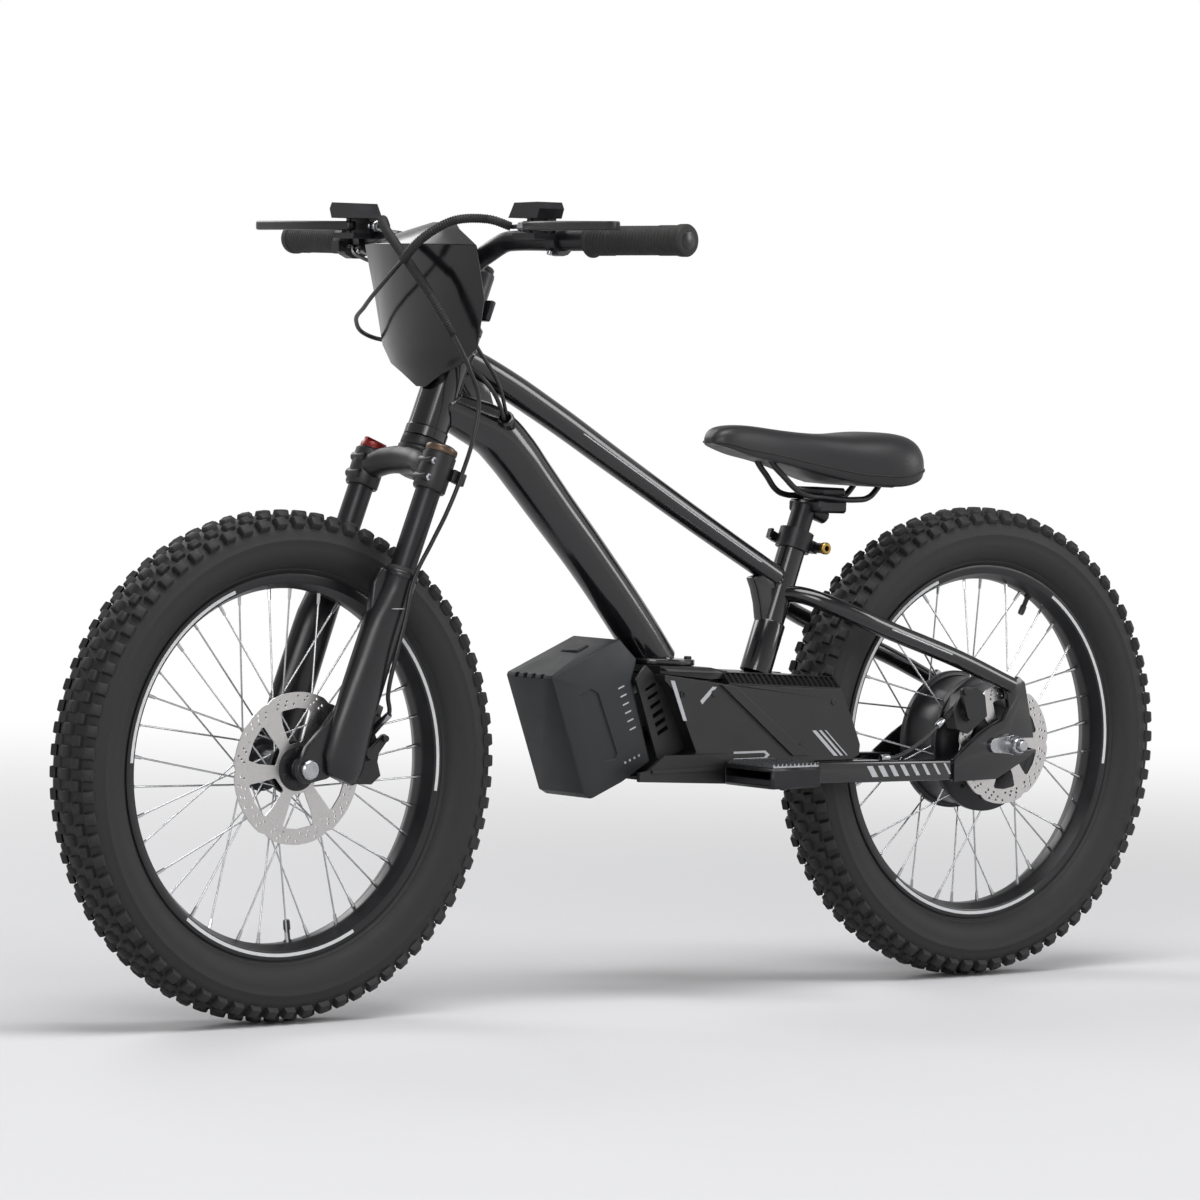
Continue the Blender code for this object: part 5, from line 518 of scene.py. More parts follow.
def addTyre(name, node, hub, body):
    half = tyre["section"]
    loop = half + [(r, -y) for r, y in reversed(half)] + [(r, -y) for r, y in reversed(tyre["inside"])]
    loop += tyre["inside"] + half[:1]
    casing = spun(loop, hub, across, tyre["steps"], out=(0, 0, 1))
    blocks = []
    pitch = turn / tyre["pitches"]
    for side, radius, lean, length, width, height, share in tyre["rows"]:
        for hand in ((1, -1) if side else (1,)):
            tilt = math.radians(lean) * hand
            around = pitch * share
            radial = Vector((math.sin(around), 0, math.cos(around)))
            up = radial * math.cos(tilt) + across * math.sin(tilt)
            ahead = Vector((math.cos(around), 0, -math.sin(around)))
            base = hub + (radial * radius + across * side * hand) * mm
            block = blockAt((length, width, height), base + up * (height / 2 - 0.6) * mm, ahead, up, bevel=0)
            bpy.ops.object.mode_set(mode="EDIT")
            bpy.ops.mesh.select_all(action="DESELECT")
            bpy.ops.object.mode_set(mode="OBJECT")
            top = max(block.data.polygons, key=lambda face: face.center.z)
            top.select = True
            bpy.ops.object.mode_set(mode="EDIT")
            bpy.ops.transform.resize(value=(0.84, 0.84, 0.84))
            bpy.ops.mesh.bevel(offset=0.9 * mm, segments=1, affect="EDGES")
            bpy.ops.object.mode_set(mode="OBJECT")
            blocks.append(block)
    knobs = merge(blocks)
    bpy.ops.object.transform_apply(location=True, rotation=True, scale=True)
    repeatRound(tyre["pitches"], hub, across)
    whole = merge([casing, knobs])
    return settle(whole, name, tyreRubber, body, [node], smooth=42)


rim = {
    "section": [(209, 21), (207.5, 21.6), (205.5, 21.3), (200.5, 21.0), (199.2, 20.4), (193.6, 9.2), (192.6, 7.0),
                (192.3, 4.0), (192.3, -4.0), (192.6, -7.0), (193.6, -9.2), (199.2, -20.4), (200.5, -21.0),
                (205.5, -21.3), (207.5, -21.6), (209, -21), (209, -19.4), (206.4, -19.2), (203, -18.8), (200.0, -10),
                (200.0, 10), (203, 18.8), (206.4, 19.2), (209, 19.4), (209, 21)],
    "steps": 144,
    "tape": {"from": 201.4, "to": 205.0, "angle": 66, "middles": [90, 210, 330]},
    "valve": {"angle": 264, "length": 34},
}


def wheelWay(degrees):
    # a way out from the axle, degrees from straight ahead towards straight up
    a = math.radians(degrees)
    return Vector((math.cos(a), 0, math.sin(a)))


def addRim(name, node, hub, body, valveAngle):
    settle(spun(rim["section"], hub, across, rim["steps"], out=(0, 0, 1)), name, "satinBlackRim", body,
           [node], smooth=32)
    tape = rim["tape"]
    strips = []
    for middle in tape["middles"]:
        for hand in (1, -1):
            edge = [(tape["from"], 20.9 * hand), (tape["from"], 21.5 * hand), (tape["to"], 21.65 * hand),
                    (tape["to"], 20.9 * hand), (tape["from"], 20.9 * hand)]
            spun(edge, hub, across, 24, out=wheelWay(middle + tape["angle"] / 2), angle=math.radians(tape["angle"]))
            bpy.ops.object.mode_set(mode="EDIT")
            bpy.ops.mesh.select_all(action="DESELECT")
            bpy.ops.mesh.select_non_manifold()
            bpy.ops.mesh.fill()
            strips.append(closeUp())
    settle(merge(strips), name + "Tape", "beadedTape", body)
    way = wheelWay(valveAngle)
    stem = [(0, 6), (4.6, 6), (4.6, 9), (3.0, 10.5), (2.9, 20), (3.9, 21), (3.9, 29), (3.2, 31.5), (0, 31.5)]
    valve = spun(stem, hub + way * 200 * mm, -way, 16)
    settle(valve, name + "Valve", "blackCableHousing", body)


spokes = {"count": 36, "radius": 1.05, "reach": 193.5, "spread": 3.6}


def addSpokes(name, hub, body, hubRadius, offset, lead, stands=()):
    wires = []
    clearSelection()
    for index in range(spokes["count"]):
        hand = 1 if index % 2 == 0 else -1
        leading = 1 if index % 4 < 2 else -1
        out = turn / 4 - (index + 0.5) * turn / spokes["count"]
        inner = out - leading * math.radians(lead)
        low = hub + (Vector((math.cos(inner), 0, math.sin(inner))) * hubRadius
                     + across * hand * (offset + leading * spokes["spread"] / 2)) * mm
        high = hub + (Vector((math.cos(out), 0, math.sin(out))) * spokes["reach"] + across * hand * 4) * mm
        way = (high - low).normalized()
        wires.append(rodBetween(low - way * 2 * mm, high, spokes["radius"] * mm, 8))
        wires.append(rodBetween(high - way * 13 * mm, high + way * 1 * mm, 1.7 * mm, 6, 2.3 * mm))
        wires.append(rodBetween(low - across * hand * leading * 1.2 * mm, low + across * hand * leading * 1.4 * mm,
                                1.9 * mm, 8, 1.3 * mm))
    settle(merge(wires), name, "drawnSpokeWire", body, stands, smooth=50)


def addBolts(name, places, way, body, radius=4.2, height=3.2, look="brightZinc", hollow=True):
    # socket cap screws: a rounded head with a hexagonal socket
    way = Vector(way).normalized()
    heads = []
    for place in places:
        profile = [(0, height * 0.35), (radius * 0.42, height * 0.35), (radius * 0.5, height), (radius * 0.82, height),
                   (radius, height * 0.72), (radius, -1.5), (0, -1.5)]
        if not hollow:
            profile = [(0, height), (radius * 0.7, height * 0.96), (radius, height * 0.6), (radius, -1.5), (0, -1.5)]
        heads.append(spun(profile, place, way, 12))
    return settle(merge(heads), name, look, body, smooth=35)


frontHub = [(5.4, 49), (7.5, 49), (8.5, 48), (11.7, 45), (11.7, 37.2), (21, 37.2), (22, 36.2), (22, 30.2), (23, 29.1),
            (28, 29.1), (29, 28.1), (29, 24.2), (28, 23.1), (22, 22), (18.6, 18), (17.6, 12), (17, 0)]
motorShell = [(9, 66.5), (11.7, 66.5), (11.7, 62.4), (25.5, 62.4), (26, 60.6), (27.2, 48), (30, 41), (33, 40),
              (42, 39.4), (43, 38.2), (45, 38.2), (46, 39.2), (57, 38.4), (60, 37.4), (71, 32.6), (73.5, 31),
              (80.5, 31), (81.5, 30), (81.5, 24.6), (80.6, 23.6), (76.5, 22.6), (75.4, 21), (75.4, 0)]


def addHubs():
    left = frontHub
    right = [(r, -y) for r, y in reversed([(5.4, 49), (9, 49), (11.7, 46), (13.5, 36), (15, 32), (22, 29.4)]
                                          + frontHub[9:])]
    settle(spun(left + right + left[:1], frontAxle, across, 64), "frontHub", "blackAnodisedAlloy", "front_wheel",
           ["front_hub_and_spokes"], smooth=35)
    addSpokes("frontSpokes", frontAxle, "front_wheel", 26, 26, 52)
    mirror = [(9, 66.5), (13, 66), (18, 64), (22, 56), (29, 43)] + motorShell[7:]
    whole = motorShell + [(r, -y) for r, y in reversed(mirror)] + motorShell[:1]
    settle(spun(whole, rearAxle, across, 96), "motorShell", "blackAnodisedAlloy", "rear_wheel",
           ["hub_motor_and_spokes"], smooth=35)
    addSpokes("rearSpokes", rearAxle, "rear_wheel", 78.5, 27, 14)
    for hand, label in ((1, "Left"), (-1, "Right")):
        ring = [rearAxle + (wheelWay(30 * step + 8) * 64.5 + across * 35.2 * hand) * mm for step in range(12)]
        addBolts("motorScrews" + label, ring, across * hand, "rear_wheel", 2.6, 2.2,
                 "phosphatedSteel")


rotor = {"lobes": 6, "band": 17, "notch": 2.3, "thick": 1.8, "bore": 12}


def rotorPoint(hub, side, radius, degrees):
    return hub + (wheelWay(degrees) * radius + across * side) * mm


def addRotor(name, node, hub, side, radius, body):
    # a wavy ring on six arms, with rows of vents through its band
    sector = 360 / rotor["lobes"]
    rimLine = []
    for step in range(180):
        degrees = step * 2
        part = (degrees % sector) / sector
        dip = max(0, 1 - abs(part - round(part)) / 0.09)
        rimLine.append(rotorPoint(hub, side - rotor["thick"] / 2, radius - rotor["notch"] * dip, degrees))
    disc = sheetOf(rimLine, across * rotor["thick"] * mm)
    band = radius - rotor["band"]
    cutters = []
    low = side - 6
    for lobe in range(rotor["lobes"]):
        start = lobe * sector
        window = [(28.5, 8), (band - 14, 7), (band - 1, 9), (band, 12), (band, 28), (band, 43), (band - 2, 46),
                  (band - 12, 45), (31, 42), (29, 39), (27.5, 25), (27.5, 11)]
        cutters.append(sheetOf([rotorPoint(hub, low, r, start + d) for r, d in window], across * 12 * mm))
        for column in range(6):
            middle = start + 7 + column * 9.2
            for row, reach in enumerate((4.4, 8.6, 12.8)):
                place = rotorPoint(hub, low, band + reach, middle + row * 2.2)
                if (column + row) % 4 != 3:
                    cutters.append(rodBetween(place, place + across * 12 * mm, 1.55 * mm, 8))
    place = rotorPoint(hub, low, 0, 0)
    cutters.append(rodBetween(place, place + across * 12 * mm, rotor["bore"] * mm, 32))
    carve(disc, cutters)
    settle(disc, name, groundSteelFinish(hub + across * side * mm), body, [node], smooth=30)
    bolts = [rotorPoint(hub, side + 0.9, 18.5, 30 + 60 * index) for index in range(6)]
    addBolts(name + "Bolts", bolts, across, body, 4.3, 2.4, "phosphatedSteel")
    spider = spun([(12.2, side + 0.9), (12.2, side + 3.2), (22.6, side + 2.9), (24.2, side + 2.0), (24.4, side + 0.9),
                   (12.2, side + 0.9)], hub, across, 48)
    settle(spider, name + "Carrier", "blackAnodisedAlloy", body)


addTyre("frontTyre", "front_tyre", frontAxle, "front_wheel")
addTyre("rearTyre", "rear_tyre", rearAxle, "rear_wheel")
addRim("frontRim", "front_rim", frontAxle, "front_wheel", rim["valve"]["angle"])
addRim("rearRim", "rear_rim", rearAxle, "rear_wheel", 118)
addHubs()
addRotor("frontDisc", "front_rotor", frontAxle, 38, 82.5, "front_wheel")
addRotor("rearDisc", "rear_rotor", rearAxle, 61, 70.5, "rear_wheel")
print("wheels built")

# Frame

frameLook = {
    # share of the way, rise in mm and swell of the top and down tubes
    "topTube": [(0, 0, 1), (0.12, 6, 1), (0.26, 7.5, 0.97), (0.5, 4, 0.9), (0.75, 1, 0.84), (1, 0, 0.78)],
    "downTube": [(0, 2, 0.84), (0.09, 18, 0.98), (0.18, 31, 1.1), (0.25, 32.5, 1.12), (0.345, 29.6, 1.08),
                 (0.45, 26, 1.04), (0.64, 20, 1), (0.9, 7, 1), (1, 0, 1)],
    "topRadius": 16.5,
    "downRadius": 25.5,
    "weld": 2.1,
}
headHigh = steer(-102)
topEnd = seat(110)
downHigh = steer(-40.96, -4)
downRun = rear(484, 102) - downHigh
downBow = Vector((downRun.z, 0, -downRun.x)).normalized()
portMouth = downHigh + downRun * 0.138 + (downBow * 39.5 + across * 30) * mm
portWay = Vector((0.6, 0.6, 0.5)).normalized()


def topPoint(share, rise):
    return headHigh + (topEnd - headHigh) * share + Vector((0, 0, rise)) * mm


def downPoint(share, rise):
    return downHigh + downRun * share + downBow * rise * mm


def weldRing(start, way, radius, axisPoint, axisWay, reach):
    # a rippled bead where a round tube meets a round post
    way, axisWay = way.normalized(), axisWay.normalized()
    one = way.orthogonal().normalized()
    two = way.cross(one)
    ring, sizes = [], []
    count = 40
    for index in range(count):
        a = turn * index / count
        edge = start + (one * math.cos(a) + two * math.sin(a)) * radius * mm
        gap = edge - axisPoint
        gap -= axisWay * gap.dot(axisWay)
        flat = way - axisWay * way.dot(axisWay)
        b, c = gap.dot(flat), gap.length_squared - (reach * mm) ** 2
        inside = b * b - flat.length_squared * c
        if inside < 0:
            continue
        ring.append(edge + way * (-b + math.sqrt(inside)) / flat.length_squared)
        sizes.append(1.0 if index % 2 else 0.84)
    return tubeAlong(ring, frameLook["weld"], sizes, sides=8, steps=2, closed=True)


def addFrame():
    head = spun([(17.6, 0.3), (23.4, 0.3), (24.0, 0.9), (24.0, 11.2), (22.7, 12.8), (22.5, 20), (22.5, 108),
                 (22.7, 115.2), (24, 116.8), (24, 127.1), (23.4, 127.7), (17.6, 127.7), (17.6, 0.3)], steer(0),
                -steerDown, 64)
    top = tubeAlong([topPoint(s, r) for s, r, _ in frameLook["topTube"]], frameLook["topRadius"],
                    [w for _, _, w in frameLook["topTube"]], 40, 16)
    down = tubeAlong([downPoint(s, r) for s, r, _ in frameLook["downTube"]], frameLook["downRadius"],
                     [w for _, _, w in frameLook["downTube"]], 48, 12)
    seatTube = spun([(13.9, 20), (13.9, 170), (15.9, 170), (15.9, 60.6), (17.6, 60), (18.3, 58.6), (18.3, -1), (0, -1),
                     (0, 20), (13.9, 20)], seat(0), seatUp, 48)
    brace = roundEdges(sheetOf([rear(x, z, -8) for x, z in
                                [(346, 197), (340, 184), (335, 167), (332, 147), (318, 147), (300, 182), (318, 205)]],
                               across * 16 * mm), 2.4, 3)
    gusset = roundEdges(sheetOf([steer(d, f, -7) for d, f in
                                 [(-62, -20), (-98, -20), (-84, -58), (-66, -74), (-50, -52)]], across * 14 * mm),
                        1.8, 3)
    slope = Vector((73, 0, 2.8)).normalized()
    lift = slope.cross(across)
    foot = rear(478, 99.73) + lift * 0.3 * mm
    oval = [foot + (slope * 43 * math.cos(turn * i / 56) + across * 37 * math.sin(turn * i / 56)) * mm
            for i in range(56)]
    flange = roundEdges(sheetOf(oval, lift * 7 * mm), 1.6, 3, 50)
    port = spun([(6.2, -13.8), (6.2, -0.8), (6.8, 0), (8.4, 0), (9.0, -0.6), (9.9, -4), (9.9, -40), (0, -40),
                 (0, -13.8), (6.2, -13.8)], portMouth, portWay, 32)
    topWay = topPoint(0.1, 5) - topPoint(0, 0)
    downWay = downPoint(0.1, 19) - downPoint(0, 2)
    welds = [weldRing(topPoint(0.02, 1), topWay, 16.4, steer(0), steerDown, 22.6),
             weldRing(topPoint(0.97, 0), topPoint(0.9, 0.4) - topPoint(1, 0), 12.8, seat(0), seatUp, 16.0),
             weldRing(downPoint(0.03, 6), downWay, 22.4, steer(0), steerDown, 22.6)]
    low = downPoint(0.985, 1)
    ring = [low + (across * math.cos(a) + downBow * math.sin(a)) * 26.2 * mm for a in
            [turn * i / 36 for i in range(36)]]
    ring = [point + lift * ((foot + lift * 7.2 * mm - point).dot(lift)) for point in ring]
    welds.append(tubeAlong(ring, 2.4, [1 if i % 2 else 0.85 for i in range(36)], 8, 2, True))
    whole = merge([head, top, down, seatTube, brace, gusset, flange, port] + welds)
    settle(whole, "weldedFrame", "glossBlackPowderCoat", "frame", ["main_frame"], smooth=36)
    screws = [foot + (slope * 34 * a + across * 25 * b) * mm + lift * 7 * mm for a, b in
              ((0.86, 0.62), (-0.86, 0.62), (0.86, -0.62), (-0.86, -0.62))]
    addBolts("flangeScrews", screws, lift, "frame", 4.4, 3.4, "phosphatedSteel")


stayLook = {
    "plate": [(88, -15), (88, -41), (21, -40), (-28, -17), (-40, -8), (-38, 4), (-21, 73), (-11, 80), (8, 66), (3, 44),
              (12, 29), (28, 23), (58, 6)],
    "route": [(298, 178, 9), (288, 177, 25), (266, 168, 46), (236, 156, 57), (200, 142, 62), (80, 102, 66),
              (0, 70, 72.5)],
    "sizes": [1, 1, 1.05, 1.08, 1.08, 1.05, 0.95],
}


def addStay(hand, label):
    beam = [(296.7, -11.5), (296.7, -37.5), (70, -39.5), (70, -15.5)]
    start = 54.5 if hand > 0 else -70.5
    chainstay = roundEdges(sheetOf([rear(x, z, start) for x, z in beam], across * 16 * mm), 3.6, 4)
    start = 67.5 if hand > 0 else -73.5
    slot = [(-60, 7.3), (0, 7.3)] + [(7.3 * math.sin(a), 7.3 * math.cos(a)) for a in
                                    [math.pi * i / 12 for i in range(1, 12)]] + [(0, -7.3), (-60, -7.3)]
    plate = sheetOf([rear(x, z, start) for x, z in stayLook["plate"]], across * 6 * mm)
    carve(plate, [sheetOf([rear(x, z, start - 5) for x, z in slot], across * 16 * mm)])
    roundEdges(plate, 1.1, 2)
    stay = tubeAlong([rear(x, z, y * hand) for x, z, y in stayLook["route"]], 10, stayLook["sizes"], 28, 12)
    seam = tubeAlong([rear(x, z, y * hand) for x, z, y in
                      [(87, -14.5, 70), (60, 5, 68), (30, 22.5, 68), (14, 29, 68)]], 1.8,
                     [1, 0.85, 1, 0.85], 8, 6)
    whole = merge([chainstay, plate, stay, seam])
    settle(whole, "rearStay" + label, "glossBlackPowderCoat", "frame", ["rear_stay_" + label.lower()],
           smooth=36)


addFrame()
addStay(1, "Left")
addStay(-1, "Right")
print("frame built")

# Fork

forkLook = {
    # from the leg's foot up: place down the steering axis, forward, half depth, half width
    "leg": [(395.1, 8.5, 17, 7), (392, 9, 21, 10), (376.1, 11.5, 27, 12), (340, 16, 26.3, 14.6), (300, 18.5, 25, 16.6),
            (270, 19, 24.4, 17.4), (235, 19.5, 23.8, 17.8), (218, 19.5, 23.4, 18), (200, 18.4, 21.6, 18.6),
            (182, 17.6, 19.6, 19), (163, 17.5, 19.2, 19.2), (160.6, 17.5, 18.4, 18.4), (160, 17.5, 17.2, 17.2)],
    "arch": [(200, 34.5, 59.5), (170, 45.5, 58.5), (147.1, 54.5, 55.5), (121.1, 60.5, 49.5), (104.1, 63.5, 35.5),
             (97.1, 65.5, 16.5)],
    "spread": 61.5,
    "sides": 40,
}


def riseThrough(sections, sides, centreSide):
    # a ring pulled through its sections; each is (down, forward, half depth, half width) on the steering axis
    clearSelection()
    bpy.ops.mesh.primitive_circle_add(vertices=sides, radius=1, fill_type="NGON", location=(0, 0, 0))
    ring = bpy.context.object
    down, forward, depth, width = sections[0]
    bpy.ops.object.mode_set(mode="EDIT")
    bpy.ops.transform.resize(value=(depth * mm, width * mm, 1))
    bpy.ops.transform.translate(value=Vector((forward, centreSide, -down)) * mm)
    for d, f, deep, wide in sections[1:]:
        bpy.ops.mesh.extrude_region_move(TRANSFORM_OT_translate={"value": Vector((f - forward, 0, down - d)) * mm})
        bpy.ops.transform.resize(value=(deep / depth, wide / width, 1),
                                 center_override=Vector((f, centreSide, -d)) * mm)
        down, forward, depth, width = d, f, deep, wide
    closeUp()
    turned = Matrix((steerFront, across, -steerDown)).transposed().to_4x4()
    ring.matrix_world = Matrix.Translation(steer(0)) @ turned
    clearSelection()
    ring.select_set(True)
    bpy.ops.object.transform_apply(location=True, rotation=True, scale=True)
    return ring


def steerPlate(outline, low, high, bevel=2.0):
    plate = sheetOf([steer(d, f, low) for d, f in outline], across * (high - low) * mm)
    return roundEdges(plate, bevel, 3)


def addLowers():
    pieces = []
    half = forkLook["arch"]
    route = [steer(*p) for p in half] + [steer(d, f, -s) for d, f, s in reversed(half)]
    pieces.append(tubeAlong(route, 10, None, 32, 10))
    foot = [(306.1, 33.5), (348.1, 48.5), (376.1, 60.9)]
    foot += [(398.1 + 15 * math.cos(math.radians(a)), 50.9 + 15 * math.sin(math.radians(a))) for a in
             range(130, -31, -16)]
    foot += [(399.1, 23.5), (386.1, 11.5)]
    web = [(164, 25.5), (162, 45.5), (182, 49.5), (220, 39.5), (236, 25.5)]
    for hand in (1, -1):
        leg = riseThrough(forkLook["leg"], forkLook["sides"], hand * forkLook["spread"])
        low, high = sorted((hand * 50, hand * 60))
        pieces += [leg, steerPlate(foot, low, high, 2.4)]
        low, high = sorted((hand * 53.5, hand * 64.5))
        pieces.append(steerPlate(web, low, high, 3.5))
        ring = spun([(14.4, 12), (19.6, 12), (20.2, 12.8), (20.2, 17.5), (19.4, 18.6), (14.4, 18.6), (14.4, 12)],
                    steer(178.6, 17.5, hand * 61.5), -steerDown, 48)
        pieces.append(ring)
    for down in (306.1, 380.1):
        bracket = [(down - 7, 3.5), (down - 6, -22.5), (down + 6, -22.5), (down + 7, 3.5)]
        pieces.append(steerPlate(bracket, 44.3, 54, 1.5))
    legs = merge(pieces)
    hole = rodBetween(frontAxle - across * 0.08, frontAxle + across * 0.08, 5.4 * mm, 24)
    carve(legs, [hole])
    settle(legs, "forkLegs", "semiGlossForkPaint", "fork", ["fork_lowers"], smooth=40)
    seals = []
    for hand in (1, -1):
        seals.append(spun([(14.2, 18), (17.6, 18), (18.2, 19), (17.6, 21.5), (15.2, 24), (14.3, 24), (14.2, 18)],
                          steer(178.6, 17.5, hand * 61.5), -steerDown, 48))
    settle(merge(seals), "forkSeals", "softGripRubber", "fork")
    for hand, label in ((1, "Left"), (-1, "Right")):
        strip = sheetOf([steer(d, f, hand * 61.5) for d, f in
                         [(196, 8), (196.9, 8), (204, 27), (203, 27)]], across * hand * 20.4 * mm)
        settle(strip, "legStripe" + label, "silverFilmAndHighlight", "fork")


def addCrown():
    core = spun([(0, 195), (13.3, 195), (14.3, 194), (14.3, -12.4), (25.5, -12.4), (25.5, -20), (24.5, -28.4),
                 (21, -37), (17.5, -42.4), (12, -44), (0, -44.4)], steer(0), -steerDown, 56)
    side = [(-61.5, 44, 17.5), (-45.5, 37, 18.5), (-24.6, 31, 16.5), (0, 29, 14.5), (24.6, 31, 16.5), (45.5, 37, 18.5),
            (61.5, 44, 17.5)]
    arms = tubeAlong([steer(d, f, y) for y, d, f in side], 15, [1, 1.02, 1.0, 1.05, 1.0, 1.02, 1], 32, 10)
    pieces = [core, arms]
    for hand in (1, -1):
        pieces.append(spun([(14.3, -22), (17.3, -22), (18.5, -23.2), (18.6, -40), (18.4, -62), (17.2, -64), (14.3, -64),
                            (14.3, -22)], steer(0, 17.5, hand * 61.5), -steerDown, 48))
        pieces.append(roundEdges(rodBetween(steer(34, 31, hand * 50), steer(34, 31, hand * 73), 5.5 * mm, 20), 1.2, 2))
        pieces.append(roundEdges(rodBetween(steer(53, 31, hand * 50), steer(53, 31, hand * 73), 5.5 * mm, 20), 1.2, 2))
    clip = steerPlate([(34, -12), (34, 6), (48, 6), (48, -12)], 73.5, 81.1, 1.2)
    pieces.append(clip)
    crown = merge(pieces)
    settle(crown, "forkCrown", "castCaliperCoat", "steering", ["fork_crown"], smooth=40)
    screws = [steer(d, 31, 73) for d in (34, 53)]
    addBolts("crownScrews", screws, across, "steering", 4.0, 1.8, "brightZinc")
    for hand, label in ((1, "Left"), (-1, "Right")):
        cap = [(0, -11.8), (12.5, -11.8), (14, -12.4), (16.5, -15), (16.5, -21.7), (14, -21.7)]
        if hand < 0:
            cap = [(0, -21), (16.2, -21), (16.5, -21.3), (16.5, -21.7), (14, -21.7)]
        tube = spun(cap + [(14, -60), (14, -223), (12.5, -226), (0, -226)], steer(0, 17.5, hand * 61.5), -steerDown, 56)
        settle(tube, "stanchion" + label, "blackAnodisedAlloy", "steering",
               ["stanchion_" + label.lower()], smooth=35)
    ring = spun([(14.2, -13.4), (17.0, -14.0), (17.8, -15.4), (17.8, -19.6), (17.0, -21.2), (14.2, -21.4),
                 (14.2, -13.4)], steer(0, 17.5, 61.5), -steerDown, 56)
    settle(ring, "legCapRing", "bronzeCap", "steering")


addLowers()
addCrown()
print("fork built")

# Handlebar and what it carries

barCentre = steer(-178.5, 49.2)
barLook = {"bendOut": 104, "setBack": 17, "rise": 35, "lean": math.tan(math.radians(9)), "end": 350, "perch": 172}


def barPoint(side):
    out = abs(side) - barLook["bendOut"]
    return barCentre + Vector((-(barLook["setBack"] + out * barLook["lean"]), side,
                               barLook["rise"] + out * 0.01)) * mm


def barWay(hand):
    return (barPoint(hand * 344) - barPoint(hand * 172)).normalized()


def addBar():
    bend = [(31, 0, 0), (40, 0.03, 0.04), (50, 0.12, 0.17), (62, 0.36, 0.44), (74, 0.6, 0.66), (84, 0.72, 0.82),
            (95, 0.88, 0.96)]
    half = [barCentre + Vector((-b * barLook["setBack"], y, r * barLook["rise"])) * mm for y, b, r in bend]
    half += [barPoint(104), barPoint(180), barPoint(346)]
    other = [Vector((p.x, -p.y, p.z)) for p in reversed(half)]
    tube = tubeAlong(other + [barCentre] + half, 11.1, None, 28, 8)
    settle(tube, "bentBar", "blackAnodisedAlloy", "steering", ["handlebar"])
    neck = tubeAlong([steer(-173, 4), steer(-175, 20), steer(-178.5, 33)], 14, [1.15, 0.98, 1.06], 32, 8)
    column = spun([(0, 140.9), (18.4, 140.9), (19.3, 141.8), (19.3, 147), (17.8, 149.5), (17.8, 196), (17.2, 199),
                   (15, 201), (0, 201)], steer(0), -steerDown, 48)
    shell = spun([(11.4, -23), (16.3, -23), (17.1, -22.2), (17.1, 22.2), (16.3, 23), (11.4, 23), (11.4, -23)],
                 barCentre, across, 48)
    clamp = blockAt((7, 40, 24), steer(-160, -17.5), steerFront, -steerDown, 2.2, 3)
    top = spun([(0, 200.6), (14.6, 200.6), (15.4, 201.4), (15.4, 204.6), (13.8, 206.2), (5.4, 206.2), (4.4, 205.2),
                (4.4, 203.4), (0, 203.4)], steer(0), -steerDown, 48)
    settle(merge([neck, column, shell, clamp, top]), "stemBody", "blackAnodisedAlloy", "steering",
           ["stem"])
    addBolts("topCapBolt", [steer(-203.2)], -steerDown, "steering", 4.0, 3.0)
    addBolts("faceplateBolts", [barCentre + steerFront * 17.6 * mm + (across * y + steerDown * d) * mm
                                for y in (-14, 14) for d in (-11.5, 11.5)], steerFront, "steering",
             3.6, 4.0)


gripLook = {"length": 138, "place": 132, "radius": 16.2, "rib": 0.55, "pitch": 4.6}


def addGrip(hand, name, node, body):
    way = barWay(hand)
    start = barPoint(hand * barLook["end"]) - way * gripLook["place"] * mm
    profile = [(11.3, 0), (18, 0), (18.5, 0.6), (18.5, 2.5), (17.8, 3.2), (16.4, 4.2)]
    place = 6.0
    while place < gripLook["length"] - 15:
        crown = gripLook["radius"] - (0.9 if 30 < place < 95 else 0.4)
        profile += [(crown, place), (crown + gripLook["rib"], place + 0.7),
                    (crown + gripLook["rib"], place + gripLook["pitch"] - 1.7),
                    (crown, place + gripLook["pitch"] - 1.0)]
        place += gripLook["pitch"]
    end = gripLook["length"]
    profile += [(16.2, end - 12.5), (17.3, end - 11), (17.5, end - 9), (17.5, end - 2.5), (16.4, end - 0.7),
                (14.6, end),
                (0, end), (0, end - 4), (11.3, end - 4), (11.3, 0)]
    settle(spun(profile, start, way, 48), name, "softGripRubber", body, [node], smooth=30)
    cap = spun([(0, 1.2), (9.2, 1.0), (10.2, 0.2), (10.2, -1), (0, -1)], start + way * end * mm, way, 36)
    settle(cap, name + "EndCap", "smoothBlackAbs", body)


leverLook = [(6, 9), (24, 17), (60, 21), (90, 21.3), (120, 20), (148, 16), (155, 15.6), (161, 12.4), (163, 8), (160, 4),
             (153, 2.6), (148, 4), (120, 9), (90, 11), (60, 10), (30, 6), (12, -6), (4, -8.5), (-5, -7), (-8.5, 0),
             (-6, 6.5)]


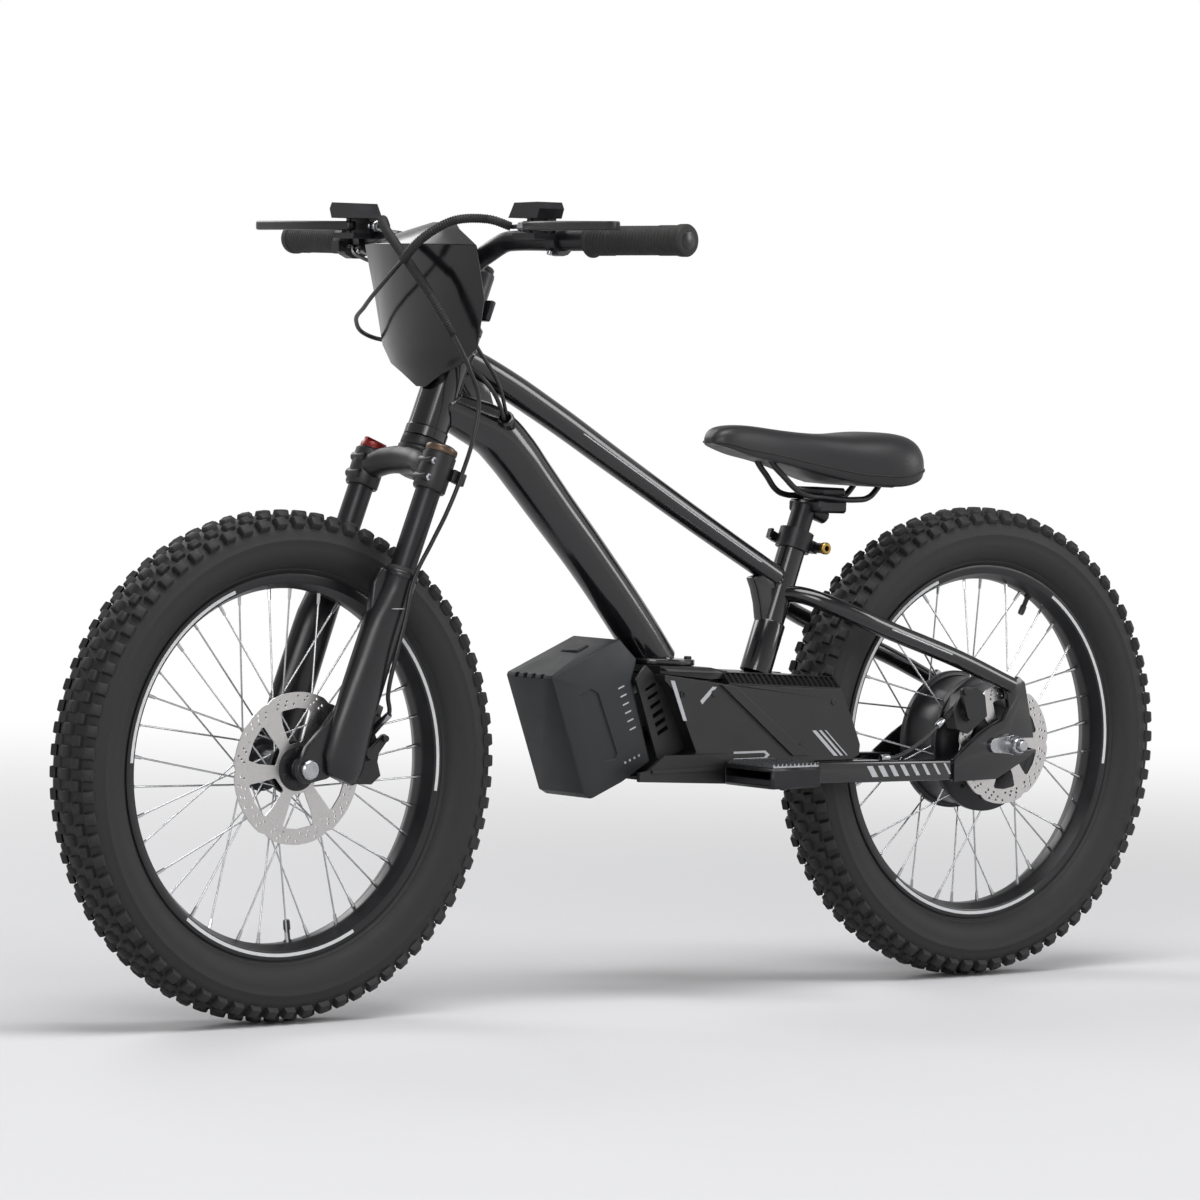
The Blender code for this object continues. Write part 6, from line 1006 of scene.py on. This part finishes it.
def addLever(hand, label):
    perch = barPoint(hand * barLook["perch"])
    pivot = perch + Vector((34, -hand * 8, 15)) * mm
    way = barWay(hand)
    up = Vector((0, 0, 1))
    outline = [pivot + (Vector((b, hand * a, -5.2))) * mm for a, b in leverLook]
    blade = roundEdges(sheetOf(outline, up * 10.4 * mm), 3.4, 4, 40)
    bore = rodBetween(pivot - up * 0.02, pivot + up * 0.02, 3.1 * mm, 20)
    carve(blade, [bore])
    settle(blade, "brakeLever" + label, "satinBlackLever", label.lower() + "_lever",
           ["brake_lever_" + label.lower()])
    cable = perch + Vector((15, -hand * 26, 15)) * mm
    barrel = [spun([(2.7, -20.2), (5, -20.2), (5.4, -19.6), (5.4, -14), (6.2, -13.4), (6.2, -8.6), (5.2, -8), (5.2, -4),
                    (6.4, -3.4), (6.4, 0), (2.7, 0), (2.7, -20.2)], cable, way, 12)]
    settle(merge(barrel), "cableAdjuster" + label, "brightZinc", "steering", smooth=25)
    addBolts("leverPivot" + label, [pivot + up * 10.2 * mm], up, "steering", 4.2, 2.2)
    addBolts("perchScrew" + label, [perch + Vector((14, hand * 2, -13)) * mm], Vector((0.3, 0, -1)), "steering",
             3.2, 2.4)


plateLook = {
    # height over the bar, half width, forward at the middle and at the edge
    "rows": [(-125, 8, 22, 22), (-111, 34, 27, 22), (-101, 62, 31, 17), (-81, 85, 35, 12), (-29, 98, 43, 14),
             (29, 100, 48, 28), (44, 47, 22, 10), (53, 20, -2, -4)],
}


def platePoint(height, share, lift):
    rows = plateLook["rows"]
    for low, high in zip(rows, rows[1:]):
        if low[0] <= height <= high[0]:
            part = (height - low[0]) / (high[0] - low[0])
            half, middle, edge = (low[i] + (high[i] - low[i]) * part for i in (1, 2, 3))
            return barCentre + Vector((middle + (edge - middle) * abs(share) + lift, half * share, height)) * mm
    return barCentre


def addPlateFilm():
    # thin light lines on the plate's face, and the light wedge on its left edge
    wedge = [platePoint(h, s, 0.15) for h, s in ((20, 0.93), (27, 0.985), (-26, 0.97), (-58, 0.985), (-60, 0.93),
                                                 (-28, 0.9))]
    line = [platePoint(h, s, 0.15) for h, s in ((23, -0.9), (25.4, -0.9), (25.4, -0.15), (23, -0.15))]
    out = Vector((0.7 * mm, 0, 0))
    films = [sheetOf(wedge, out), sheetOf(line, out)]
    settle(merge(films), "plateFilm", "silverFilmAndHighlight", "steering")
    screws = [platePoint(h, s, 1.2) for h, s in ((-6, 0.34), (-6, -0.34))]
    addBolts("plateScrews", screws, Vector((1, 0, 0.1)), "steering", 4.2, 1.6, "phosphatedSteel")


addBar()
addGrip(1, "ribbedGrip", "left_grip", "steering")
addGrip(-1, "ribbedThrottleGrip", "throttle_grip", "throttle")
addLever(1, "Left")
addLever(-1, "Right")
addPlateFilm()
print("handlebar built")

# Cables

cableLook = {"radius": 2.45, "wire": 2.1, "sleeve": 5.3, "sleevePitch": 2.6}
cableRuns = {
    "front": [(812, 594, -92), (840, 588, -54), (862, 574, -10), (869, 548, 30), (866, 514, 66), (846, 468, 86),
              (824, 432, 86), (806, 400, 80), (810, 366, 80), (830, 318, 84.4), (850, 276, 84.4), (868, 246, 84.4),
              (893, 203, 84.5), (903, 160, 84), (914, 117, 82), (917, 80, 75)],
    "rear": [(814, 595, 98), (848, 592, 82), (874, 572, 62), (882, 548, 38), (880, 524, 2), (866, 498, -50),
             (846, 480, -92), (820, 466, -106), (796, 460, -90), (793, 462, -50), (803, 464, -10), (802, 452, 26),
             (784, 430, 44), (762, 410, 46)],
    "throttle": [(806, 556, -150), (808, 538, -84), (810, 508, -10), (800, 480, 40), (780, 446, 52), (758, 420, 50)],
    "low": [(196, -10.2, 66), (174, -9.9, 66.5), (132, 8, 66), (97, 30, 61)],
}


def leverStart(hand):
    start = barPoint(hand * 172) + Vector((15, -hand * 26, 15)) * mm - barWay(hand) * 20 * mm
    return [start - barWay(hand) * reach * mm for reach in (0.6, 6, 13)]


def addCorrugated(points):
    # a split corrugated sleeve: ribs in a wave along the cable
    lengths = [(b - a).length for a, b in zip(points, points[1:])]
    ribs, sizes = [], []
    count = int(sum(lengths) / (cableLook["sleevePitch"] * mm)) * 2
    for index in range(count + 1):
        want = sum(lengths) * index / count
        spot = 0
        while spot < len(lengths) - 1 and want > lengths[spot]:
            want -= lengths[spot]
            spot += 1
        before = points[max(spot - 1, 0)]
        a, b = points[spot], points[spot + 1]
        after = points[min(spot + 2, len(points) - 1)]
        t = want / lengths[spot]
        ribs.append(0.5 * (2 * a + (b - before) * t + (2 * before - 5 * a + 4 * b - after) * t * t
                           + (3 * a - before - 3 * b + after) * t ** 3))
        sizes.append(1.0 if index % 2 else 0.84)
    return tubeAlong(ribs, cableLook["sleeve"], sizes, 14, 2)


def addCables():
    runs = {name: [rear(*place) for place in places] for name, places in cableRuns.items()}
    aside = portWay.cross(across).normalized() * 2.9 * mm
    inside = portMouth - portWay * 13 * mm
    front = leverStart(-1) + runs["front"] + [fromAxle(-89, -22.5, 66), fromAxle(-81.5, -23, 57.6)]
    back = leverStart(1) + runs["rear"] + [portMouth + portWay * 9 * mm - aside, inside - aside]
    outlet = barPoint(-205.9) + Vector((18, 7, -8)) * mm
    wire = [outlet + across * reach * mm for reach in (0.6, 6, 12)]
    wire += runs["throttle"] + [portMouth + portWay * 9 * mm + aside, inside + aside]
    pieces = [
        ("frontBrakeCable", front, cableLook["radius"], "front_brake_cable", ("steering", "fork"), (14, 17)),
        ("rearBrakeCable", back, cableLook["radius"], "rear_brake_cable", ("steering", "frame"), (12, 17)),
        ("throttleWire", wire, cableLook["wire"], "throttle_wire", ("steering", "frame"), (5, 9)),
    ]
    for name, points, radius, node, bodies, ends in pieces:
        tube = tubeAlong(points, radius, None, 16, 12)
        settleSoft(tube, name, "blackCableHousing", [node])
        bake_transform(tube)
    for name, points in (("frontSleeve", front[2:9]), ("rearSleeve", back[2:7])):
        settle(addCorrugated(points), name, "softGripRubber", "steering", smooth=60)
    end = tubeAlong(runs["low"], cableLook["radius"], None, 16, 10)
    settle(end, "lowCableEnd", "blackCableHousing", "frame", ["rear_brake_cable_end"])
    caps = []
    for start, after in ((runs["low"][0], runs["low"][1]), (runs["low"][-1], runs["low"][-2])):
        caps.append(spun([(2.5, -1), (3.4, -1), (3.7, -0.4), (3.7, 11), (3.2, 12), (2.5, 12), (2.5, -1)], start,
                         after - start, 20))
    settle(merge(caps), "lowCableFerrules", "brightZinc", "frame")
    ferrule = spun([(2.5, -1), (3.6, -1), (3.9, -0.4), (3.9, 12), (3.3, 13.4), (2.5, 13.4), (2.5, -1)], front[-1],
                   front[-2] - front[-1], 20)
    settle(ferrule, "frontCableFerrule", "brightZinc", "fork")


def settleSoft(piece, name, look, stands):
    # like settle, for a cord that runs between two bodies and rides none
    clearSelection()
    piece.select_set(True)
    bpy.context.view_layer.objects.active = piece
    bpy.ops.object.transform_apply(location=True, rotation=True, scale=True)
    bpy.ops.object.shade_smooth()
    piece.name = name
    piece.data.materials.clear()
    piece.data.materials.append(finish(look))
    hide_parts(*stands)


addCables()
print("cables built")

# Saddle

saddleLook = {
    # forward of the clamp, half width, top and edge over the clamp, in mm
    "stations": [(147.5, 5, 76, 73.5), (146.4, 9.5, 79.5, 71), (142, 14.5, 85, 69.5), (136, 19.5, 89.4, 67.8),
                 (124, 22.2, 92, 64), (105, 23.8, 93, 58), (82, 26, 91.2, 54), (60, 29, 88.5, 50), (35, 34.6, 86, 44),
                 (10, 42, 84, 38), (-15, 51.5, 83.1, 31.6), (-40, 61, 83, 26), (-62, 69.2, 84.6, 24),
                 (-85, 75.6, 86, 23),
                 (-102, 76.6, 85.8, 25), (-117, 72.6, 84, 29.4), (-127, 64, 80, 33), (-134.5, 53, 75, 37.4),
                 (-139, 40, 70, 41.8), (-141.4, 26, 65, 46.6), (-142, 12, 61, 50)],
    "section": [(0, 1), (0.16, 1.0), (0.33, 0.995), (0.5, 0.975), (0.65, 0.93), (0.78, 0.85), (0.88, 0.74), (0.95, 0.6),
                (0.99, 0.45), (1.0, 0.3), (0.995, 0.17), (0.975, 0.07), (0.93, 0.01), (0.86, 0.0)],
    "seam": 0.21,
}


def saddlePoint(x, z, side=0):
    return seat(203) + Vector((x, side, z)) * mm


def vinylFinish():
    # soft synthetic leather: fine pebble, satin, with faint uneven wear
    material = bpy.data.materials.new("satinSaddleVinyl")
    material.use_nodes = True
    tree = material.node_tree
    tree.nodes.clear()
    place = addNode(tree, "ShaderNodeTexCoord").outputs["Object"]
    pebble = addNode(tree, "ShaderNodeTexVoronoi", {"Scale": 700.0, "Randomness": 0.9}, {"Vector": place})
    crease = addNode(tree, "ShaderNodeTexNoise", {"Scale": 130.0, "Detail": 5}, {"Vector": place})
    both = addNode(tree, "ShaderNodeMath", {"operation": "MULTIPLY_ADD", 1: 0.5},
                   {0: crease.outputs["Fac"], 2: pebble.outputs["Distance"]})
    bump = addNode(tree, "ShaderNodeBump", {"Strength": 0.3, "Distance": 0.0002}, {"Height": both.outputs[0]})
    wear = addNode(tree, "ShaderNodeTexNoise", {"Scale": 11.0, "Detail": 4}, {"Vector": place})
    rough = addNode(tree, "ShaderNodeMapRange", {"To Min": 0.36, "To Max": 0.5}, {"Value": wear.outputs["Fac"]})
    shade = addNode(tree, "ShaderNodeMix", {"data_type": "RGBA"}, {"Factor": wear.outputs["Fac"]})
    shade.inputs[6].default_value = hexColour("#161518")
    shade.inputs[7].default_value = hexColour("#1b1a1d")
    skin = addNode(tree, "ShaderNodeBsdfPrincipled", {"Specular IOR Level": 0.5},
                   {"Base Color": shade.outputs[2], "Roughness": rough.outputs["Result"],
                    "Normal": bump.outputs["Normal"]})
    addNode(tree, "ShaderNodeOutputMaterial", None, {"Surface": skin.outputs["BSDF"]})
    return material


def addSaddle():
    # rings across the saddle, joined by faces: crowned over the top, round at the rim, closed below
    section = saddleLook["section"]
    rings = []
    for x, half, top, edge in saddleLook["stations"]:
        arc = [(out * half, edge + (top - edge) * up) for out, up in section]
        ring = arc + [(0.5 * half, edge + 1.2), (0, edge + 1.2)]
        ring += [(-y, z) for y, z in reversed([(0.5 * half, edge + 1.2)])]
        ring += [(-y, z) for y, z in reversed(arc[1:])]
        rings.append([saddlePoint(x, z, y) for y, z in ring])
    clearSelection()
    strips = [drawRing(ring) for ring in rings]
    cushion = merge(strips)
    bpy.ops.object.mode_set(mode="EDIT")
    bpy.ops.mesh.select_all(action="SELECT")
    bpy.ops.mesh.bridge_edge_loops(type="SINGLE", use_merge=False)
    bpy.ops.mesh.select_all(action="DESELECT")
    bpy.ops.mesh.select_mode(type="EDGE")
    bpy.ops.mesh.select_non_manifold()
    bpy.ops.mesh.edge_face_add()
    bpy.ops.mesh.select_mode(type="VERT")
    bpy.ops.mesh.select_all(action="SELECT")
    bpy.ops.mesh.normals_make_consistent(inside=False)
    bpy.ops.object.mode_set(mode="OBJECT")
    soften = cushion.modifiers.new("soften", "SUBSURF")
    soften.levels = 2
    bpy.ops.object.modifier_apply(modifier=soften.name)
    settle(cushion, "foamCushion", vinylFinish(), "seat", ["saddle_cushion"], smooth=60)
    seam = []
    for x, half, top, edge in saddleLook["stations"][2:-2]:
        seam.append(saddlePoint(x, edge + (top - edge) * saddleLook["seam"], half * 0.985))
    loop = seam + [Vector((p.x, -p.y, p.z)) for p in reversed(seam)]
    piping = tubeAlong(loop, 1.3, None, 8, 4, True)
    settle(piping, "cushionPiping", "softGripRubber", "seat")
    half = [(67, 55, 0.5), (58, 45, 0.6), (48, 36, 0.68), (26, 17, 0.9), (10, 12, 1), (-5, 11, 1), (-60, 7.5, 1),
            (-78, 10, 1), (-90, 19, 1), (-97, 28, 1)]
    left = [saddlePoint(x, z, s * 22) for x, z, s in half]
    nose = [saddlePoint(72, 57, 6), saddlePoint(72, 57, -6)]
    route = list(reversed(left)) + nose + [Vector((p.x, -p.y, p.z)) for p in left]
    rails = tubeAlong(route, 3.5, None, 20, 10)
    settle(rails, "saddleRails", "satinBlackLever", "seat", ["saddle_rails"])


def drawRing(points):
    drawLine(points)
    ring = bpy.context.object
    bpy.ops.mesh.select_all(action="DESELECT")
    bpy.ops.object.mode_set(mode="OBJECT")
    ring.data.vertices[0].select = ring.data.vertices[len(points) - 1].select = True
    bpy.ops.object.mode_set(mode="EDIT")
    bpy.ops.mesh.edge_face_add()
    bpy.ops.object.mode_set(mode="OBJECT")
    return ring


addSaddle()
print("saddle built")

# Films, dots, painted highlight lines and small fittings on the frame, case and battery

detailLook = {
    "film": 0.4,
    # outlines on the case cover, forward of the rear axle and above it
    "caseStripes": [
        [(514, 86), (508, 85.4), (489, 40), (494, 40)],
        [(446, 77), (452, 77.8), (470, 62), (467, 58)],
        [(419, 3), (372, 3), (365, -2), (372, -7), (419, -7), (419, -4.6), (374, -4.6), (370.5, -2), (374, 0.6),
         (419, 0.6)],
        [(302, 24), (296, 24), (262, -6), (268, -6)],
        [(292, 24), (288, 24), (254, -6), (258, -6)],
        [(283, 24), (281, 24), (247, -6), (249, -6)],
    ],
    "caseSide": 65.0,
    "slashStart": 222, "slashPitch": 17, "slashes": 8,
    "dashes": 6,
}
packTilt = math.radians(20.9)


def packPoint(depth, down, side):
    return rear(666.6, 92, side) + (Vector((-math.cos(packTilt), 0, math.sin(packTilt))) * depth
                                    + Vector((-math.sin(packTilt), 0, -math.cos(packTilt))) * down) * mm


def addFilms():
    for hand, label in ((1, "Left"), (-1, "Right")):
        out = across * hand * detailLook["film"] * mm
        side = hand * (detailLook["caseSide"] + 0.04)
        stripes = [sheetOf([rear(x, z, side) for x, z in outline], out) for outline in detailLook["caseStripes"]]
        settle(merge(stripes), "caseStripes" + label, "silverFilmAndHighlight", "frame")
        side = hand * 70.55
        marks = []
        for index in range(detailLook["slashes"]):
            x = detailLook["slashStart"] - index * detailLook["slashPitch"]
            wide = 9 - index * 0.8
            marks.append(sheetOf([rear(x, -19, side), rear(x - wide, -19, side), rear(x - wide - 9, -32, side),
                                  rear(x - 9, -32, side)], out))
        settle(merge(marks), "chainstayMarks" + label, "silverFilmAndHighlight", "frame")
        # thin pale lines along the sides of the seat stay and the top tube: painted highlights that stand in for the
        # lamps' reflections on the gloss tubes
        lines = [tubeAlong([rear(190, 138.6, hand * 73.2), rear(140, 122, hand * 75.2), rear(98, 108, hand * 76.3)],
                           0.9, None, 8, 10),
                 tubeAlong([topPoint(s, r) + across * hand * 16.5 * w * mm for s, r, w in
                            ((0.36, 5.6, 0.93), (0.5, 4, 0.9), (0.75, 1, 0.84), (0.91, 0.3, 0.8))], 0.8, None, 8, 12)]
        settle(merge(lines), "tubeHighlightLines" + label, "silverFilmAndHighlight", "frame")
    out = across * detailLook["film"] * mm
    marks = [rodBetween(packPoint(d, 131, 41), packPoint(d, 131, 42.3), 1.5 * mm, 16) for d in (66, 73, 80, 87)]
    for index in range(detailLook["dashes"]):
        down = 48 + index * 10
        marks.append(sheetOf([packPoint(d, w, 42.04) for d, w in ((84, down), (93, down), (93, down + 1.6),
                                                                  (84, down + 1.6))], out))
    settle(merge(marks), "packMarks", "silverFilmAndHighlight", "battery")


def addSmallFittings():
    nut = spun([(3, 0), (6.2, 0), (7, 0.8), (7, 5.2), (6, 6.4), (3.4, 6.4), (3, 5.6), (3, 0)], seat(160.5, 25, 24.2),
               across, 32)
    settle(nut, "seatClampNut", "yellowPassivate", "frame")
    for hand, label in ((1, "Left"), (-1, "Right")):
        side = hand * detailLook["caseSide"]
        addBolts("coverScrews" + label, [rear(x, z, side) for x, z in ((496, 70), (496, -12), (318, 6), (270, 56))],
                 across * hand, "frame", 3.6, 1.6, "phosphatedSteel")
    addBolts("treadScrews", [rear(x, -9.2, y) for x in (374, 429) for y in (-140, 140)], Vector((0, 0, 1)), "frame",
             3.2, 1.0)


addFilms()
addSmallFittings()
print("films and fittings built")

# CAD nodes that stay: their finish, and a small radius on their edges

nodeFinish = {
    "blackAnodisedAlloy": ["stem_faceplate", "headset_lower_cup", "headset_upper_cup", "seat_post", "seat_clamp",
                           "saddle_clamp", "brake_perch_left", "brake_perch_right", "footrest_left", "footrest_right"],
    "grainedBlackAbs": ["case_body", "cradle", "battery_dock", "saddle_base", "throttle_housing"],
    "smoothBlackAbs": ["case_cover_left", "case_cover_right", "case_lid"],
    "dryGreyPolycarbonate": ["battery_pack", "battery_release_button"],
    "glossBlackPlate": ["number_plate"],
    "satinBlackLever": ["seat_clamp_lever"],
    "castCaliperCoat": ["front_caliper", "front_caliper_arm", "rear_caliper", "rear_caliper_arm"],
    "brightZinc": ["axle_nut_left", "axle_nut_right", "front_axle", "rear_axle", "footrest_tread_left",
                   "footrest_tread_right"],
    "redAnodisedKnob": ["lockout_knob"],
}
edgeRadius = {"usual": 0.5, "number_plate": 0.9, "battery_pack": 1.2, "case_cover_left": 0.8, "case_cover_right": 0.8}


def dressNode(name, look):
    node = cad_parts[name]
    bpy.ops.object.select_all(action="DESELECT")
    node.select_set(True)
    bpy.context.view_layer.objects.active = node
    bpy.ops.mesh.customdata_custom_splitnormals_clear()
    bpy.ops.object.shade_smooth()
    node.data.materials.clear()
    node.data.materials.append(finish(look))
    weld = node.modifiers.new("weld", "WELD")
    weld.merge_threshold = 0.00001
    flat = node.modifiers.new("flat", "DECIMATE")
    flat.decimate_type = "DISSOLVE"
    flat.angle_limit = math.radians(0.6)
    radius = node.modifiers.new("radius", "BEVEL")
    radius.width = edgeRadius.get(name, edgeRadius["usual"]) * mm
    radius.segments = 2
    radius.limit_method = "ANGLE"
    radius.angle_limit = math.radians(40)
    radius.harden_normals = True


for look, names in nodeFinish.items():
    for name in names:
        dressNode(name, look)
print("CAD nodes dressed")
